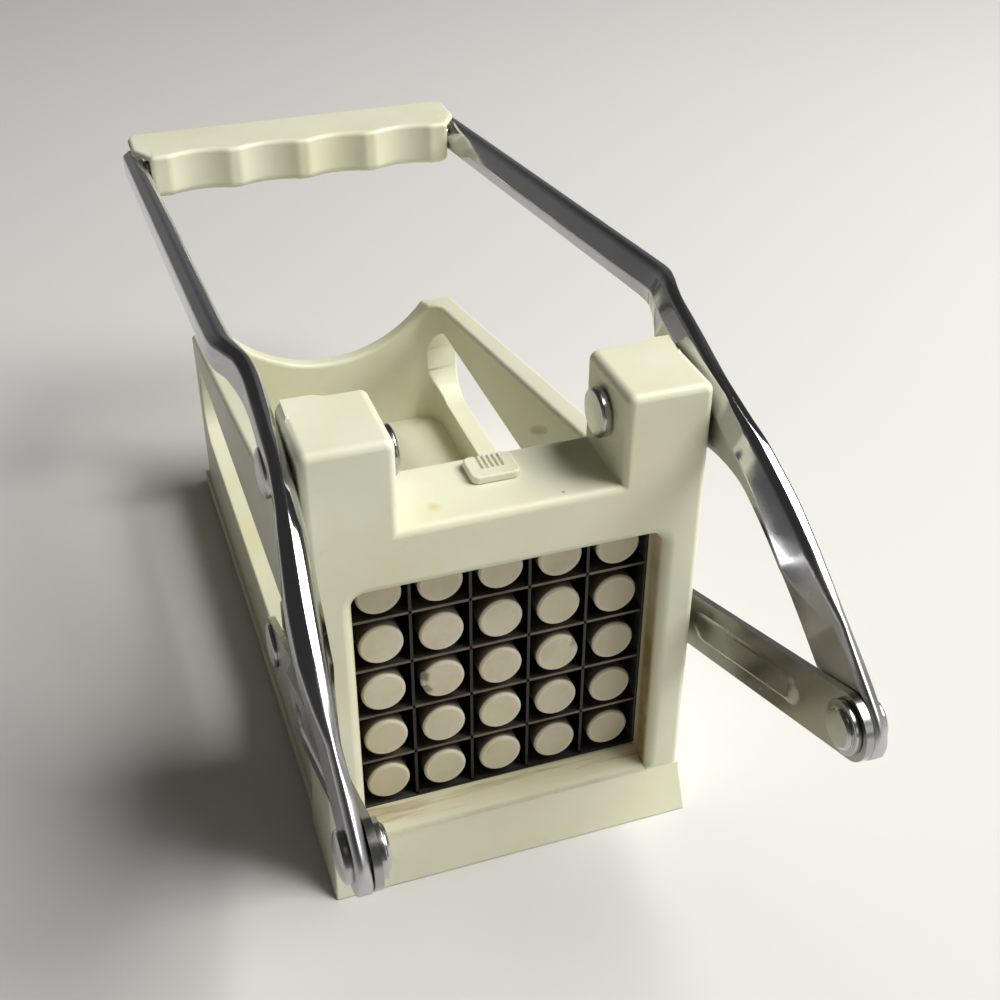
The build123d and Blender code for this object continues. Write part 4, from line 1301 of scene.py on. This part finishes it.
# The camera: its place, the directions of the picture's right and upper side, its lens and sensor in
# millimetres, and the range it sees
CAMERA_PLACE = Vector((-0.07082, -0.19366, 0.22929))
CAMERA_RIGHT = Vector((0.9442, -0.3294, 0.0030))
CAMERA_UP = Vector((0.1843, 0.5356, 0.8241))
CAMERA_LENS = 50.945
CAMERA_SENSOR = 36.0
CAMERA_RANGE = (0.01, 20.0)


def area_lamp(name, spot, size, power, tint):
    """A soft lamp aimed at the chipper."""
    data = bpy.data.lights.new(name, "AREA")
    data.shape = "RECTANGLE"
    data.size, data.size_y = size
    data.energy = power
    data.color = tint
    lamp = new_object(name, data)
    lamp.location = spot
    lamp.rotation_mode = "QUATERNION"
    lamp.rotation_quaternion = (LAMP_AIM - Vector(spot)).to_track_quat("-Z", "Y")
    return lamp


def photo_camera():
    """A camera that sees the chipper as the photo does."""
    data = bpy.data.cameras.new("photo_camera")
    data.lens = CAMERA_LENS
    data.sensor_width = CAMERA_SENSOR
    data.clip_start, data.clip_end = CAMERA_RANGE
    camera = new_object("photo_camera", data)
    back = CAMERA_RIGHT.cross(CAMERA_UP).normalized()
    up = back.cross(CAMERA_RIGHT).normalized()
    turn = Matrix((CAMERA_RIGHT.normalized(), up, back)).transposed()
    camera.matrix_world = Matrix.Translation(CAMERA_PLACE) @ turn.to_4x4()
    return camera


class CHIPPER_OT_stage(Dressing, bpy.types.Operator):
    """Sets the floor, the lamps, the world and the camera"""

    bl_idname = "chipper.stage"
    bl_label = "Studio"

    def build(self, sizes, hues):
        scene = bpy.context.scene
        shape = bmesh.new()
        bmesh.ops.create_grid(shape, x_segments=2, y_segments=2, size=FLOOR_HALF)
        floor = new_object("studio_floor", mesh_from("studio_floor", shape))
        floor.data.materials.append(finish("studio_floor"))
        scene.world = bpy.data.worlds.new("studio_world")
        scene.world.use_nodes = True
        sky = Nodes(scene.world.node_tree)
        height = sky.axes(sky.put("ShaderNodeTexCoord").outputs["Generated"])[2]
        light = sky.span(height, *WORLD_FADE, *WORLD_LIGHT)
        sky.tree.links.new(light, sky.tree.nodes["Background"].inputs[0])
        lamps = [area_lamp(name, *values) for name, values in LAMPS.items()]
        camera = photo_camera()
        scene.camera = camera
        scene.view_settings.view_transform = "Standard"


class CHIPPER_PT_panel(bpy.types.Panel):
    """Lists the operators of the chipper"""

    bl_label = "Lever Potato Chipper"
    bl_idname = "CHIPPER_PT_panel"
    bl_space_type = "VIEW_3D"
    bl_region_type = "UI"
    bl_category = "Chipper"

    def draw(self, context):
        for operator in OPERATORS:
            self.layout.operator(operator.bl_idname)


OPERATORS = (
    CHIPPER_OT_materials,
    CHIPPER_OT_housing,
    CHIPPER_OT_blades,
    CHIPPER_OT_pusher,
    CHIPPER_OT_latch,
    CHIPPER_OT_grip,
    CHIPPER_OT_levers,
    CHIPPER_OT_links,
    CHIPPER_OT_rivets,
    CHIPPER_OT_stage,
)
CLASSES = (ChipperSizes, ChipperColours, *OPERATORS, CHIPPER_PT_panel)


def register():
    """Adds the classes and the settings."""
    for item in CLASSES:
        bpy.utils.register_class(item)
    bpy.types.Scene.chipper_sizes = PointerProperty(type=ChipperSizes)
    bpy.types.Scene.chipper_colours = PointerProperty(type=ChipperColours)


def unregister():
    """Removes the settings and the classes."""
    del bpy.types.Scene.chipper_colours
    del bpy.types.Scene.chipper_sizes
    for item in reversed(CLASSES):
        bpy.utils.unregister_class(item)


def main():
    """Builds every piece in order."""
    register()
    bpy.ops.chipper.materials()
    bpy.ops.chipper.housing()
    bpy.ops.chipper.blades()
    bpy.ops.chipper.pusher()
    bpy.ops.chipper.latch()
    bpy.ops.chipper.grip()
    bpy.ops.chipper.levers()
    bpy.ops.chipper.links()
    bpy.ops.chipper.rivets()
    bpy.ops.chipper.stage()


if __name__ == "__main__":
    main()
